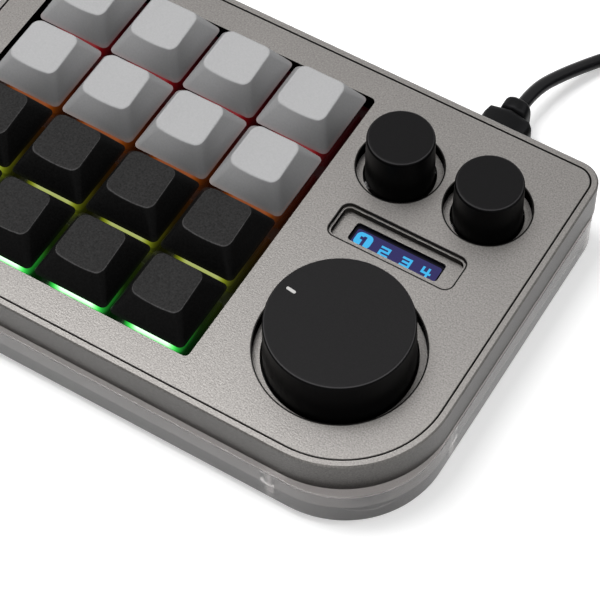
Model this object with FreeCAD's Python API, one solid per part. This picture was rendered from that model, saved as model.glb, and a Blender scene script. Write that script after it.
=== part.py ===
import FreeCAD, Part
import math
import os

# Macro keypad: sixteen keys, three press-and-turn knobs, a small display and a cord.
# Millimetres. +X right, +Y to the back, +Z up. Origin on the desk, under the middle of the base.

# Keys
key_pitch = 19.05
key_columns = 4
key_rows = 4
key_travel = 4.0
cap_base_size = 18.2
cap_base_corner = 1.3
cap_height = 6.1
cap_top_width = 11.7
cap_top_depth = 11.0
cap_top_back_shift = 0.45
cap_top_corner = 2.2
cap_dish_depth = 0.5
cap_top_tilt = 3.0
cap_wall = 1.4
cap_roof = 1.5
cap_lift = 0.6
cap_post_radius = 2.7
cap_post_gap = 0.1
cap_post_root = 0.1
cap_blank_share = 1.15

# How far a cut runs past the faces that it goes through
cut_past = 1.0

# Top plate and the windows in it
front_margin = 7.25
back_margin = 6.65
left_margin = 7.25
control_panel_width = 51.0
cutout_side_gap = 1.7
cutout_end_gap = 0.81
cutout_corner = 1.2
plate_thickness = 4.4
plate_corner = 4.0
plate_big_corner = 23.0
plate_edge_break = 0.15
plate_least_corner = 1.0
seam_gap = 0.3

# Outer frame
rim_width = 1.8
rim_edge_break = 0.35
frame_height = 9.2
frame_lip_width = 5.6
frame_lip_thickness = 1.7
frame_wall_inset = 0.2

# Base tray
base_height = 10.8
base_front_step = 1.3
base_side_step = 0.4
base_corner = 8.0
base_big_corner = 23.0
base_floor = 3.0
base_inner_inset = 1.0
base_top_break = 0.3
base_bottom_break = 1.2
foot_radius = 5.0
foot_height = 1.5
foot_recess = 0.5
foot_recess_gap = 0.1
foot_edge_break = 0.5
foot_inset = 9.5
big_corner_foot_inset = 7.5

# Screws that hold the sandwich together
screw_radius = 1.25
screw_hole_clearance = 0.15
screw_head_radius = 2.2
screw_head_height = 1.5
screw_thread_depth = 3.0
screw_thread_gap = 0.02
screw_tip_gap = 0.3
screw_inset = 3.7
post_radius = 3.2
post_root = 0.5
counterbore_radius = 2.6
counterbore_depth = 2.2
hex_socket_radius = 0.9
hex_socket_depth = 0.8

# Switches, after the common full-height mechanical switch
switch_drop = 6.1
switch_plate_thickness = 1.5
switch_plate_gap = 0.4
switch_hole = 14.0
switch_body = 13.9
switch_flange = 15.6
switch_flange_height = 1.0
switch_body_depth = 5.0
switch_height = 6.6
switch_top_width = 9.8
switch_shell_base = 14.6
switch_roof = 1.2
switch_shell_corner = 1.0
switch_shell_rib = 0.5
switch_wall_inner = 9.4
switch_floor = 1.4
switch_post_radius = 2.0
switch_post_depth = 3.3
switch_post_gap = 0.05
switch_bore_spare = 0.4
stem_width = 7.2
stem_depth = 5.8
stem_gap = 0.1
stem_flange_extra = 0.7
stem_flange_height = 1.2
stem_pole_radius = 1.5
stem_pole_gap = 0.1
stem_pole_depth = 6.6
stem_cross_height = 3.6
stem_cross_length = 4.1
stem_cross_bar = 1.17
stem_cross_gap = 0.05
spring_inner_radius = 1.85
spring_wall = 0.8

# Circuit board and what is on it
board_thickness = 1.6
board_inset = 2.2
board_post_gap = 0.5
diode_size = 3.4
diode_height = 1.0
diode_offset = -4.7
diode_land_side = 0.2
diode_land_end = 0.4
underglow_size = 5.0
underglow_height = 1.5
underglow_inset = 4.8
underglow_front_shares = (-0.75, -0.25, 0.25)
underglow_back_shares = (-0.75, -0.25, 0.2)
underglow_right_share = 0.5
underglow_left_share = 0.4
chip_size = 8.0
chip_height = 1.0
chip_front_shift = 2.0

# Knobs and their encoders
dial_inset = 25.3
dial_top_radius = 15.7
dial_base_radius = 16.1
dial_height = 10.0
dial_well_radius = 18.1
dial_edge = 0.7
dial_wall = 2.2
dial_roof = 3.0
dial_hub_radius = 6.6
dial_mark_turn = 173.0
dial_mark_inset = 1.9
dial_mark_length = 2.6
dial_mark_width = 0.9
dial_mark_depth = 0.2
dial_mark_round_gap = 0.01
knob_back_inset = 19.5
knob_right_inset = 16.0
knob_spacing = 21.6
knob_top_radius = 7.4
knob_base_radius = 7.65
knob_height = 9.5
left_knob_lift = 1.0
knob_well_radius = 9.6
knob_edge = 0.8
well_depth = 3.0
well_hole_gap = 0.45
knob_sink = 3.6
knob_hub_radius = 5.0
knob_hub_gap = 0.3
knob_roof = 2.0
knob_press = 0.5
encoder_width = 12.0
encoder_depth = 11.7
encoder_height = 6.5
encoder_wall = 1.0
encoder_opening_gap = 0.5
bush_radius = 3.5
bush_height = 4.5
shaft_radius = 3.0
shaft_flat = 1.5
shaft_gap = 0.03
shaft_hub_gap = 0.03
shaft_step_gap = 0.1
shaft_end_gap = 0.3
rotor_radius = 4.6
rotor_height = 1.6
rotor_gap = 0.15
rotor_shaft_radius = 2.4
rotor_bore_gap = 0.05

# Display
display_right_inset = 27.8
display_back_inset = 37.85
display_recess_width = 30.0
display_recess_depth = 8.95
display_recess_corner = 2.0
display_step_inset = 0.45
display_step_drop = 0.7
display_sink = 2.2
display_window_width = 21.8
display_window_depth = 4.95
display_window_corner = 0.8
display_glass_width = 30.0
display_glass_depth = 11.5
display_glass_thickness = 1.45
display_pocket_gap = 0.15
display_board_width = 38.0
display_board_depth = 12.0
display_board_thickness = 1.0
display_header_width = 2.5
display_header_depth = 10.0
header_opening_gap = 1.0

# Socket, plug and cord
usb_right_inset = 27.2
usb_opening_width = 11.4
usb_opening_height = 7.0
usb_opening_corner = 1.5
socket_width = 8.94
socket_height = 3.16
socket_depth = 7.3
socket_wall = 0.22
socket_setback = 0.2
socket_back_wall = 0.5
plug_shell_width = 8.3
plug_shell_height = 2.5
plug_shell_length = 6.5
plug_shell_corner = 1.2
plug_opening_gap = 0.3
plug_width = 10.9
plug_height = 9.8
plug_corner = 3.4
plug_reach = 11.05
plug_neck_width = 5.5
plug_neck_height = 9.4
plug_neck_corner = 2.5
plug_neck_length = 4.2
cord_radius = 1.6
cord_straight = 8.0
cord_arc_share = 0.45
cord_route = [(46.0, 83.5, 3.0), (53.0, 94.5, 0.0), (66.0, 106.5, 0.0)]
coil_center_x = 88.0
coil_outer_radius = 22.6
coil_turn_pitch = 3.7
coil_layer_rise = 3.7
coil_layers = 4
coil_turns_per_layer = 2.5
coil_climb_turns = 0.5
coil_climb_bulge = 0.25
coil_steps_per_turn = 4
coil_wrap_turns = 0.75
coil_wrap_step = 1.6
coil_wrap_swing_share = 1 / 3
far_plug_width = 14.6
far_plug_height = 8.2
far_plug_length = 22.0
far_plug_corner = 2.0
far_shell_width = 12.0
far_shell_height = 4.5
far_shell_length = 18.6
far_shell_wall = 0.3
far_tongue_top = 0.1
far_neck_radius = 2.9
far_neck_length = 10.0
far_neck_taper = 0.75

# Levels, from the desk up
base_bottom = foot_height
base_top = base_bottom + base_height
plate_top = base_top + frame_height
plate_bottom = plate_top - plate_thickness
lip_bottom = plate_bottom - frame_lip_thickness
switch_level = plate_top - switch_drop
switch_plate_bottom = switch_level - switch_plate_thickness
board_top = switch_level - switch_body_depth
board_bottom = board_top - board_thickness
well_floor = plate_top - well_depth
cap_bottom = plate_top + cap_lift
switch_top = switch_level + switch_height
stem_bottom = switch_top - switch_roof - stem_gap - stem_flange_height
stem_shoulder = switch_top - stem_gap
stem_top = stem_shoulder + stem_cross_height
display_floor = plate_top - display_sink
screw_seat = base_bottom + counterbore_depth
display_glass_top = plate_bottom + display_glass_thickness
usb_center_z = board_bottom - socket_height / 2

# Places on the plan
cutout_width = (key_columns - 1) * key_pitch + cap_base_size + 2 * cutout_side_gap
cutout_depth = (key_rows - 1) * key_pitch + cap_base_size + 2 * cutout_end_gap
plate_width = left_margin + cutout_width + control_panel_width
plate_depth = front_margin + cutout_depth + back_margin
plate_left = -plate_width / 2
plate_right = plate_width / 2
plate_front = -plate_depth / 2 + base_front_step / 2
plate_back = plate_front + plate_depth
first_key_x = plate_left + left_margin + cutout_side_gap + cap_base_size / 2
first_key_y = plate_front + front_margin + cutout_end_gap + cap_base_size / 2
wall_back = plate_back + rim_width
dial_place = (plate_right - dial_inset, plate_front + dial_inset)
knob_right_place = (plate_right - knob_right_inset, plate_back - knob_back_inset)
knob_left_place = (knob_right_place[0] - knob_spacing, plate_back - knob_back_inset)
display_place = (plate_right - display_right_inset, plate_back - display_back_inset)
usb_x = plate_right - usb_right_inset
coil_center = (coil_center_x, cord_route[-1][1] - coil_outer_radius)
coil_lead = 2 * cord_radius
coil_layer_span = coil_turns_per_layer + coil_climb_turns
coil_layers_span = coil_layers * coil_layer_span - coil_climb_turns
coil_total_turns = coil_layers_span + coil_wrap_turns
display_header_x = display_place[0] - display_board_width / 2 + display_header_width
cutout_center = (plate_left + left_margin + cutout_width / 2, plate_front + front_margin + cutout_depth / 2)
screw_places = [
    (plate_left + screw_inset, plate_front + screw_inset),
    (plate_left + screw_inset, plate_back - screw_inset),
    (plate_right - screw_inset, plate_back - screw_inset),
    ((plate_left + plate_right) / 2, plate_back - screw_inset),
    (plate_right - plate_big_corner - screw_inset, plate_front + screw_inset),
    (plate_right - screw_inset, plate_front + plate_big_corner + screw_inset),
]
big_corner_place = (plate_right - plate_big_corner, plate_front + plate_big_corner)
foot_sweep = (plate_big_corner - big_corner_foot_inset) / math.sqrt(2)
foot_places = [
    (plate_left + foot_inset, plate_front + foot_inset),
    (plate_left + foot_inset, plate_back - foot_inset),
    (plate_right - foot_inset, plate_back - foot_inset),
    (big_corner_place[0] + foot_sweep, big_corner_place[1] - foot_sweep),
]


def vec(x, y, z):
    return FreeCAD.Vector(x, y, z)


def box(center_x, center_y, size_x, size_y, low, high):
    corner = vec(center_x - size_x / 2, center_y - size_y / 2, low)
    return Part.makeBox(size_x, size_y, high - low, corner)


def cylinder(center, radius, low, high):
    return Part.makeCylinder(radius, high - low, vec(center[0], center[1], low))


def outline(left, right, front, back, radii, z=0.0):
    """A rectangle on the plan. Its radii run front left, front right, back right, back left."""
    corners = [(left, front, 180), (right, front, 270), (right, back, 0), (left, back, 90)]
    ends = []
    edges = []
    for (x, y, turn), radius in zip(corners, radii):
        inward_x = 1 if x == left else -1
        inward_y = 1 if y == front else -1
        middle = vec(x + inward_x * radius, y + inward_y * radius, z)
        arc = [
            middle + vec(radius * math.cos(math.radians(a)), radius * math.sin(math.radians(a)), 0)
            for a in (turn, turn + 45, turn + 90)
        ]
        edges.append(Part.Arc(*arc).toShape())
        ends.append((arc[0], arc[2]))
    for n in range(4):
        edges.append(Part.LineSegment(ends[n][1], ends[(n + 1) % 4][0]).toShape())
    return Part.Wire(Part.__sortEdges__(edges))


def slab(wire, low, high):
    face = Part.Face(wire)
    face.translate(vec(0, 0, low - face.BoundBox.ZMin))
    return face.extrude(vec(0, 0, high - low))


def plate_outline(grow):
    """The seam's outline, grown outwards by grow, or drawn in where grow is negative."""
    small = max(plate_corner + grow, plate_least_corner)
    radii = (small, plate_big_corner + grow, small, small)
    return outline(plate_left - grow, plate_right + grow, plate_front - grow, plate_back + grow, radii)


def base_outline():
    side = rim_width + base_side_step
    front = rim_width + base_front_step
    radii = (base_corner, base_big_corner, base_corner, base_corner)
    return outline(plate_left - side, plate_right + side, plate_front - front, wall_back, radii)


def block(center, width, depth, corner, low, high):
    x, y = center
    radii = (corner,) * 4
    wire = outline(x - width / 2, x + width / 2, y - depth / 2, y + depth / 2, radii)
    return slab(wire, low, high)


def rim_edges(solid, level):
    """The edges that lie flat at one level."""
    return [
        e for e in solid.Edges
        if abs(e.BoundBox.ZMin - level) < 1e-4 and abs(e.BoundBox.ZMax - level) < 1e-4
    ]


def key_places():
    for row in range(key_rows):
        for column in range(key_columns):
            yield row, column, (first_key_x + column * key_pitch, first_key_y + row * key_pitch)


def top_plate():
    plate = slab(plate_outline(0), plate_bottom, plate_top)
    plate = plate.makeChamfer(plate_edge_break, rim_edges(plate, plate_top))
    low = plate_bottom - cut_past
    high = plate_top + cut_past
    plate = plate.cut(block(cutout_center, cutout_width, cutout_depth, cutout_corner, low, high))
    wells = [
        (dial_place, dial_well_radius, dial_base_radius),
        (knob_left_place, knob_well_radius, knob_base_radius),
        (knob_right_place, knob_well_radius, knob_base_radius),
    ]
    for place, well_radius, knob_radius in wells:
        plate = plate.cut(cylinder(place, well_radius, well_floor, high))
        plate = plate.cut(cylinder(place, knob_radius + well_hole_gap, low, plate_top))
    for tool in display_cuts():
        plate = plate.cut(tool)
    for place in screw_places:
        plate = plate.cut(cylinder(place, screw_radius, low, plate_bottom + screw_thread_depth))
    return plate


def display_cuts():
    """The stepped recess, the window in its floor and the pocket behind it."""
    inset = 2 * display_step_inset
    pocket = 2 * display_pocket_gap
    return [
        block(display_place, display_recess_width, display_recess_depth, display_recess_corner,
              plate_top - display_step_drop, plate_top + cut_past),
        block(display_place, display_recess_width - inset, display_recess_depth - inset,
              display_recess_corner - display_step_inset, display_floor, plate_top),
        block(display_place, display_window_width, display_window_depth, display_window_corner,
              plate_bottom - cut_past, plate_top),
        box(*display_place, display_glass_width + pocket, display_glass_depth + pocket,
            plate_bottom - cut_past, display_glass_top + display_pocket_gap),
    ]


def outer_frame():
    frame = slab(plate_outline(rim_width), base_top, plate_top)
    frame = frame.makeChamfer(rim_edge_break, rim_edges(frame, plate_top))
    frame = frame.cut(slab(plate_outline(seam_gap), plate_bottom, plate_top + cut_past))
    frame = frame.cut(slab(plate_outline(-frame_lip_width), base_top, plate_top))
    frame = frame.cut(slab(plate_outline(-frame_wall_inset), base_top - cut_past, lip_bottom))
    for place in screw_places:
        hole = cylinder(place, screw_radius + screw_hole_clearance, base_top, plate_top)
        frame = frame.cut(hole)
    return frame


def base_tray():
    base = slab(base_outline(), base_bottom, base_top)
    base = base.makeFillet(base_top_break, rim_edges(base, base_top))
    base = base.makeFillet(base_bottom_break, rim_edges(base, base_bottom))
    floor_top = base_bottom + base_floor
    base = base.cut(slab(plate_outline(-base_inner_inset), floor_top, base_top + cut_past))
    for place in screw_places:
        base = base.fuse(cylinder(place, post_radius, floor_top - post_root, switch_plate_bottom))
    for place in screw_places:
        base = base.cut(cylinder(place, screw_radius + screw_hole_clearance, 0, plate_top))
        base = base.cut(cylinder(place, counterbore_radius, base_bottom - cut_past, screw_seat))
    for place in foot_places:
        recess = foot_radius + foot_recess_gap
        base = base.cut(cylinder(place, recess, base_bottom - cut_past, base_bottom + foot_recess))
    return base.cut(usb_opening()).removeSplitter()


def usb_opening():
    radii = (usb_opening_corner,) * 4
    wire = outline(usb_x - usb_opening_width / 2, usb_x + usb_opening_width / 2,
                   -usb_opening_height / 2, usb_opening_height / 2, radii)
    return upright(wire, plate_back - base_inner_inset - cut_past, wall_back + cut_past)


def upright(wire, front, back):
    """A plan outline stood up on the cord's level and run from front to back."""
    face = Part.Face(wire)
    face.rotate(vec(0, 0, 0), vec(1, 0, 0), 90)
    face.translate(vec(0, front, usb_center_z))
    return face.extrude(vec(0, back - front, 0))


def switch_plate():
    plate = slab(plate_outline(-frame_wall_inset - switch_plate_gap), switch_plate_bottom, switch_level)
    low = switch_plate_bottom - cut_past
    high = switch_level + cut_past
    for _, _, place in key_places():
        plate = plate.cut(box(*place, switch_hole, switch_hole, low, high))
    spare = 2 * encoder_opening_gap
    for place in (dial_place, knob_left_place, knob_right_place):
        plate = plate.cut(box(*place, encoder_width + spare, encoder_depth + spare, low, high))
    spare = 2 * header_opening_gap
    plate = plate.cut(box(display_header_x, display_place[1], display_header_width + spare,
                          display_header_depth + spare, low, high))
    for place in screw_places:
        plate = plate.cut(cylinder(place, screw_radius + screw_hole_clearance, low, high))
    return plate


def circuit_board():
    board = slab(plate_outline(-board_inset), board_bottom, board_top)
    low = board_bottom - cut_past
    high = board_top + cut_past
    for place in screw_places:
        board = board.cut(cylinder(place, post_radius + board_post_gap, low, high))
    for _, _, (x, y) in key_places():
        board = board.cut(cylinder((x, y), switch_post_radius + switch_post_gap, low, high))
        window = (diode_size - 2 * diode_land_side, diode_size - 2 * diode_land_end)
        board = board.cut(box(x, y + diode_offset, *window, low, high))
    return board


def controller_chip():
    x = (key_columns - 0.5) * key_pitch + first_key_x
    y = display_place[1] - chip_front_shift
    return box(x, y, chip_size, chip_size, board_bottom - chip_height, board_bottom)


def light_diodes():
    diodes = []
    low = board_bottom - diode_height
    for _, _, (x, y) in key_places():
        diodes.append(box(x, y + diode_offset, diode_size, diode_size, low, board_bottom))
    low = board_bottom - underglow_height
    for x, y in underglow_places():
        diodes.append(box(x, y, underglow_size, underglow_size, low, board_bottom))
    return Part.makeCompound(diodes)


def underglow_places():
    """Larger diodes under the board's edges, which light the clear base."""
    side = plate_right - board_inset - underglow_inset
    front = plate_front + board_inset + underglow_inset
    back = plate_back - board_inset - underglow_inset
    places = [(share * side, front) for share in underglow_front_shares]
    places += [(share * side, back) for share in underglow_back_shares]
    places.append((side, plate_front + plate_depth * underglow_right_share))
    places.append((-side, plate_front + plate_depth * underglow_left_share))
    return places


def usb_socket():
    front = plate_back - base_inner_inset - socket_setback - socket_depth
    middle = front + socket_depth / 2
    low = usb_center_z - socket_height / 2
    high = usb_center_z + socket_height / 2
    shell = box(usb_x, middle, socket_width, socket_depth, low, high)
    mouth = box(usb_x, middle + socket_back_wall, socket_width - 2 * socket_wall, socket_depth,
                low + socket_wall, high - socket_wall)
    return shell.cut(mouth)


def display_module():
    glass = box(*display_place, display_glass_width, display_glass_depth, plate_bottom, display_glass_top)
    board = box(*display_place, display_board_width, display_board_depth,
                plate_bottom - display_board_thickness, plate_bottom)
    header = box(display_header_x, display_place[1], display_header_width, display_header_depth,
                 board_top, plate_bottom - display_board_thickness)
    return Part.makeCompound([glass, board.fuse(header)])


def screw(place):
    head_low = screw_seat - screw_head_height
    head = cylinder(place, screw_head_radius, head_low, screw_seat)
    tip = plate_bottom + screw_thread_depth - screw_tip_gap
    shank = cylinder(place, screw_radius - screw_thread_gap, screw_seat, tip)
    corners = []
    for n in range(7):
        turn = math.radians(60 * n)
        reach = vec(hex_socket_radius * math.cos(turn), hex_socket_radius * math.sin(turn), 0)
        corners.append(vec(*place, head_low) + reach)
    key = Part.Face(Part.makePolygon(corners)).extrude(vec(0, 0, hex_socket_depth))
    return head.fuse(shank).cut(key)


def case_screws():
    return Part.makeCompound([screw(place) for place in screw_places])


def rubber_feet():
    feet = []
    for place in foot_places:
        foot = cylinder(place, foot_radius, 0, base_bottom + foot_recess)
        feet.append(foot.makeFillet(foot_edge_break, rim_edges(foot, 0)))
    return Part.makeCompound(feet)


def lower_housing(place):
    housing = box(*place, switch_body, switch_body, board_top, switch_level)
    flange_top = switch_level + switch_flange_height
    housing = housing.fuse(box(*place, switch_flange, switch_flange, switch_level, flange_top))
    housing = housing.fuse(cylinder(place, switch_post_radius, board_top - switch_post_depth, board_top))
    cavity_floor = board_top + switch_floor
    housing = housing.cut(box(*place, switch_wall_inner, switch_wall_inner, cavity_floor, switch_top))
    bore_bottom = stem_bottom - stem_pole_depth - key_travel - switch_bore_spare
    bore = cylinder(place, stem_pole_radius + stem_pole_gap, bore_bottom, cavity_floor + cut_past)
    return housing.cut(bore)


def upper_housing(place):
    x, y = place
    low = switch_level + switch_flange_height
    wires = []
    radii = (switch_shell_corner,) * 4
    for size, z in ((switch_shell_base, low), (switch_top_width, switch_top)):
        wires.append(outline(x - size / 2, x + size / 2, y - size / 2, y + size / 2, radii, z))
    shell = Part.makeLoft(wires, True, True)
    room = box(x, y, switch_wall_inner, switch_wall_inner - 2 * switch_shell_rib, low - cut_past,
               switch_top - switch_roof)
    window = box(x, y, stem_width + 2 * stem_gap, stem_depth + 2 * stem_gap, low, switch_top + cut_past)
    return shell.cut(room).cut(window)


def switch_spring(place):
    outer = cylinder(place, spring_inner_radius + spring_wall, board_top + switch_floor, stem_bottom)
    return outer.cut(cylinder(place, spring_inner_radius, board_top, stem_bottom + cut_past))


def key_stem(place):
    x, y = place
    stem = box(x, y, stem_width, stem_depth, stem_bottom, stem_shoulder)
    flange = box(x, y, stem_width + 2 * stem_flange_extra, stem_depth + 2 * stem_flange_extra,
                 stem_bottom, stem_bottom + stem_flange_height)
    pole = cylinder(place, stem_pole_radius, stem_bottom - stem_pole_depth, stem_bottom)
    bar_along = box(x, y, stem_cross_length, stem_cross_bar, stem_shoulder, stem_top)
    bar_across = box(x, y, stem_cross_bar, stem_cross_length, stem_shoulder, stem_top)
    return stem.fuse([flange, pole, bar_along, bar_across]).removeSplitter()


def cap_section(place, share, inset, z):
    """The cap's outline at a share of its height, drawn in by a wall."""
    x, y = place
    half_x = (cap_base_size + (cap_top_width - cap_base_size) * share) / 2 - inset
    half_y = (cap_base_size + (cap_top_depth - cap_base_size) * share) / 2 - inset
    middle_y = y + cap_top_back_shift * share
    corner = cap_base_corner + (cap_top_corner - cap_base_corner) * share - inset / 2
    return outline(x - half_x, x + half_x, middle_y - half_y, middle_y + half_y, (corner,) * 4, z)


def cap_dish(place):
    """A long round bar whose underside is the dish, tilted so that the cap's back edge is higher."""
    half = cap_top_width / 2
    radius = (half * half + cap_dish_depth * cap_dish_depth) / (2 * cap_dish_depth)
    length = 3 * cap_base_size
    low_point = cap_bottom + cap_height - cap_dish_depth
    start = vec(place[0], place[1] - length / 2, low_point + radius)
    bar = Part.makeCylinder(radius, length, start, vec(0, 1, 0))
    bar.rotate(vec(place[0], place[1] + cap_top_back_shift, low_point), vec(1, 0, 0), cap_top_tilt)
    return bar


def keycap(place):
    top = cap_bottom + cap_height * cap_blank_share
    blank = [cap_section(place, 0, 0, cap_bottom), cap_section(place, cap_blank_share, 0, top)]
    shell = Part.makeLoft(blank, True, True)
    shell = shell.cut(cap_dish(place))
    roof = cap_bottom + cap_height - cap_roof
    share = (roof - cap_bottom) / cap_height
    hollow = Part.makeLoft(
        [cap_section(place, 0, cap_wall, cap_bottom), cap_section(place, share, cap_wall, roof)], True, True)
    shell = shell.cut(hollow)
    post_low = stem_shoulder + cap_post_gap
    post = cylinder(place, cap_post_radius, post_low, roof + cap_post_root)
    slot_x = stem_cross_length + 2 * stem_cross_gap
    slot_y = stem_cross_bar + 2 * stem_cross_gap
    cap = shell.fuse(post)
    cap = cap.cut(box(*place, slot_x, slot_y, post_low - cut_past, stem_top + stem_cross_gap))
    return cap.cut(box(*place, slot_y, slot_x, post_low - cut_past, stem_top + stem_cross_gap))


def d_prism(place, radius, flat, low, high):
    """A round bar with one flat on its back."""
    x, y = place
    bar = cylinder(place, radius, low, high)
    return bar.cut(box(x, y + flat + radius, 4 * radius, 2 * radius, low - cut_past, high + cut_past))


def encoder_body(place):
    top = board_top + encoder_height
    body = box(*place, encoder_width, encoder_depth, board_top, top)
    body = body.fuse(cylinder(place, bush_radius, top, top + bush_height))
    cavity = cylinder(place, rotor_radius + rotor_gap, board_top + encoder_wall, top - encoder_wall)
    body = body.cut(cavity)
    bore_top = top + bush_height + cut_past
    return body.cut(cylinder(place, shaft_radius + shaft_gap, top - 2 * encoder_wall, bore_top))


def encoder_rotor(place):
    low = board_top + encoder_height - encoder_wall - rotor_gap - rotor_height
    wheel = cylinder(place, rotor_radius, low, low + rotor_height)
    high = low + rotor_height
    hole = d_prism(place, rotor_shaft_radius + rotor_bore_gap, shaft_flat + rotor_bore_gap,
                   low - cut_past, high + cut_past)
    return wheel.cut(hole)


def encoder_shaft(place, height):
    step = board_top + encoder_height - encoder_wall + shaft_step_gap + knob_press
    low = board_top + encoder_wall + knob_press + shaft_end_gap
    top = plate_top + height - knob_roof
    bush_top = board_top + encoder_height + bush_height
    lower = d_prism(place, rotor_shaft_radius, shaft_flat, low, step)
    middle = cylinder(place, shaft_radius, step, bush_top)
    upper = d_prism(place, shaft_radius, shaft_flat, bush_top, top)
    return lower.fuse([middle, upper]).removeSplitter()


def knob_body(place, top_radius, base_radius, height, edge, lift=0.0):
    """A slightly tapered round cap with a bore for its shaft and room for the bush."""
    low = plate_top - knob_sink + lift
    top = plate_top + height + lift
    body = Part.makeCone(base_radius, top_radius, top - low, vec(place[0], place[1], low))
    body = body.makeFillet(edge, rim_edges(body, top))
    bush_top = board_top + encoder_height + bush_height + knob_press + knob_hub_gap
    body = body.cut(cylinder(place, knob_hub_radius, low - cut_past, bush_top))
    bore = d_prism(place, shaft_radius + shaft_hub_gap, shaft_flat + shaft_hub_gap, low, top - knob_roof)
    return body.cut(bore)


def small_knob(place, lift):
    """A small knob, standing higher by lift where it isn't pushed all the way down its shaft."""
    return knob_body(place, knob_top_radius, knob_base_radius, knob_height, knob_edge, lift)


def dial():
    """The large knob, hollowed round its hub, with a groove near the rim."""
    body = knob_body(dial_place, dial_top_radius, dial_base_radius, dial_height, dial_edge)
    low = plate_top - knob_sink
    hollow_top = plate_top + dial_height - dial_roof
    ring = cylinder(dial_place, dial_top_radius - dial_wall, low - cut_past, hollow_top)
    ring = ring.cut(cylinder(dial_place, dial_hub_radius, low - 2 * cut_past, hollow_top + cut_past))
    return body.cut(ring).cut(dial_mark())


def dial_mark():
    """The short groove near the rim that shows how far the dial has turned."""
    top = plate_top + dial_height
    turn = math.radians(dial_mark_turn)
    reach = dial_top_radius - dial_mark_inset - dial_mark_length / 2
    groove = block((0, 0), dial_mark_length, dial_mark_width, dial_mark_width / 2 - dial_mark_round_gap,
                   top - dial_mark_depth, top + cut_past)
    groove.rotate(vec(0, 0, 0), vec(0, 0, 1), dial_mark_turn)
    groove.translate(vec(dial_place[0] + reach * math.cos(turn), dial_place[1] + reach * math.sin(turn), 0))
    return groove


def usb_plug():
    """The moulded plug: metal mouth, nose in the base's opening, grip behind it, neck for the cord."""
    face = plate_back - base_inner_inset
    grip_start = wall_back + plug_opening_gap
    grip_end = wall_back + plug_reach
    nose_width = usb_opening_width - 2 * plug_opening_gap
    nose_height = usb_opening_height - 2 * plug_opening_gap
    nose_corner = usb_opening_corner - plug_opening_gap
    parts = []
    sizes = [
        (plug_shell_width, plug_shell_height, plug_shell_corner, face - plug_shell_length, face),
        (nose_width, nose_height, nose_corner, face, grip_start),
        (plug_width, plug_height, plug_corner, grip_start, grip_end),
        (plug_neck_width, plug_neck_height, plug_neck_corner, grip_end, grip_end + plug_neck_length),
    ]
    for width, height, corner, front, back in sizes:
        wire = outline(usb_x - width / 2, usb_x + width / 2, -height / 2, height / 2, (corner,) * 4)
        parts.append(upright(wire, front, back))
    return parts[0].fuse(parts[1:]).removeSplitter()


def cord_points():
    """From the plug's neck, straight out, down to the desk and round to the coil."""
    exit_y = wall_back + plug_reach + plug_neck_length
    points = [vec(usb_x, exit_y, usb_center_z), vec(usb_x, exit_y + cord_straight, usb_center_z)]
    points += [vec(x, y, above_desk + cord_radius) for x, y, above_desk in cord_route]
    points.append(coil_point(0) - vec(coil_lead, 0, 0))
    return points


def cord_path(points):
    """Straight runs joined by tangent arcs, each as large as its two runs allow."""
    edges = []
    here = points[0]
    for before, corner, after in zip(points, points[1:], points[2:]):
        run_in = corner - before
        run_out = after - corner
        turn = run_in.getAngle(run_out)
        cut = cord_arc_share * min(run_in.Length, run_out.Length)
        radius = cut / math.tan(turn / 2)
        into = vec(*run_in).normalize()
        out = vec(*run_out).normalize()
        first = corner - into * cut
        last = corner + out * cut
        inward = (out - into).normalize()
        middle = corner + inward * (radius / math.cos(turn / 2) - radius)
        edges.append(Part.LineSegment(here, first).toShape())
        edges.append(Part.Arc(first, middle, last).toShape())
        print("cord radius", round(radius, 1), "turn", round(math.degrees(turn), 1),
              "runs", round(run_in.Length, 1), round(run_out.Length, 1))
        here = last
    edges.append(Part.LineSegment(here, points[-1]).toShape())
    return Part.Wire(edges)


def tube(path, radius):
    start = path.Edges[0].firstVertex().Point
    heading = path.Edges[0].tangentAt(path.Edges[0].FirstParameter)
    ring = Part.Wire(Part.makeCircle(radius, start, heading))
    return path.makePipeShell([ring], True, False)


def usb_cord():
    path = cord_path(cord_points())
    cord = tube(path, cord_radius)
    print("cord length", round(path.Length, 1), "volume over section times length",
          round(cord.Volume / (math.pi * cord_radius ** 2 * path.Length), 4))
    return cord


def coil_point(turns):
    """Where the coil's centre line is after so many turns, clockwise from the back of the coil."""
    layer = min(int(turns / coil_layer_span), coil_layers - 1)
    along = turns - layer * coil_layer_span
    inner = coil_outer_radius - coil_turns_per_layer * coil_turn_pitch
    going_in = layer % 2 == 0
    height = cord_radius + layer * coil_layer_rise
    if turns > coil_layers_span:
        share = (turns - coil_layers_span) / coil_wrap_turns
        swing = min(1.0, share / coil_wrap_swing_share)
        radius = coil_outer_radius + coil_wrap_step * coil_turn_pitch * swing * swing * (3 - 2 * swing)
        fall = max(0.0, (share - coil_wrap_swing_share) / (1 - coil_wrap_swing_share))
        low = far_plug_height / 2
        height = height + (low - height) * fall * fall * (3 - 2 * fall)
    elif along <= coil_turns_per_layer:
        drift = along * coil_turn_pitch
        radius = coil_outer_radius - drift if going_in else inner + drift
    else:
        climb = (along - coil_turns_per_layer) / coil_climb_turns
        bulge = coil_turn_pitch * coil_climb_bulge * (1 - abs(2 * climb - 1))
        radius = inner - bulge if going_in else coil_outer_radius + bulge
        height += coil_layer_rise * climb * climb * (3 - 2 * climb)
    angle = math.pi / 2 - 2 * math.pi * turns
    out_from_middle = vec(radius * math.cos(angle), radius * math.sin(angle), height)
    return vec(*coil_center, 0) + out_from_middle


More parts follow.
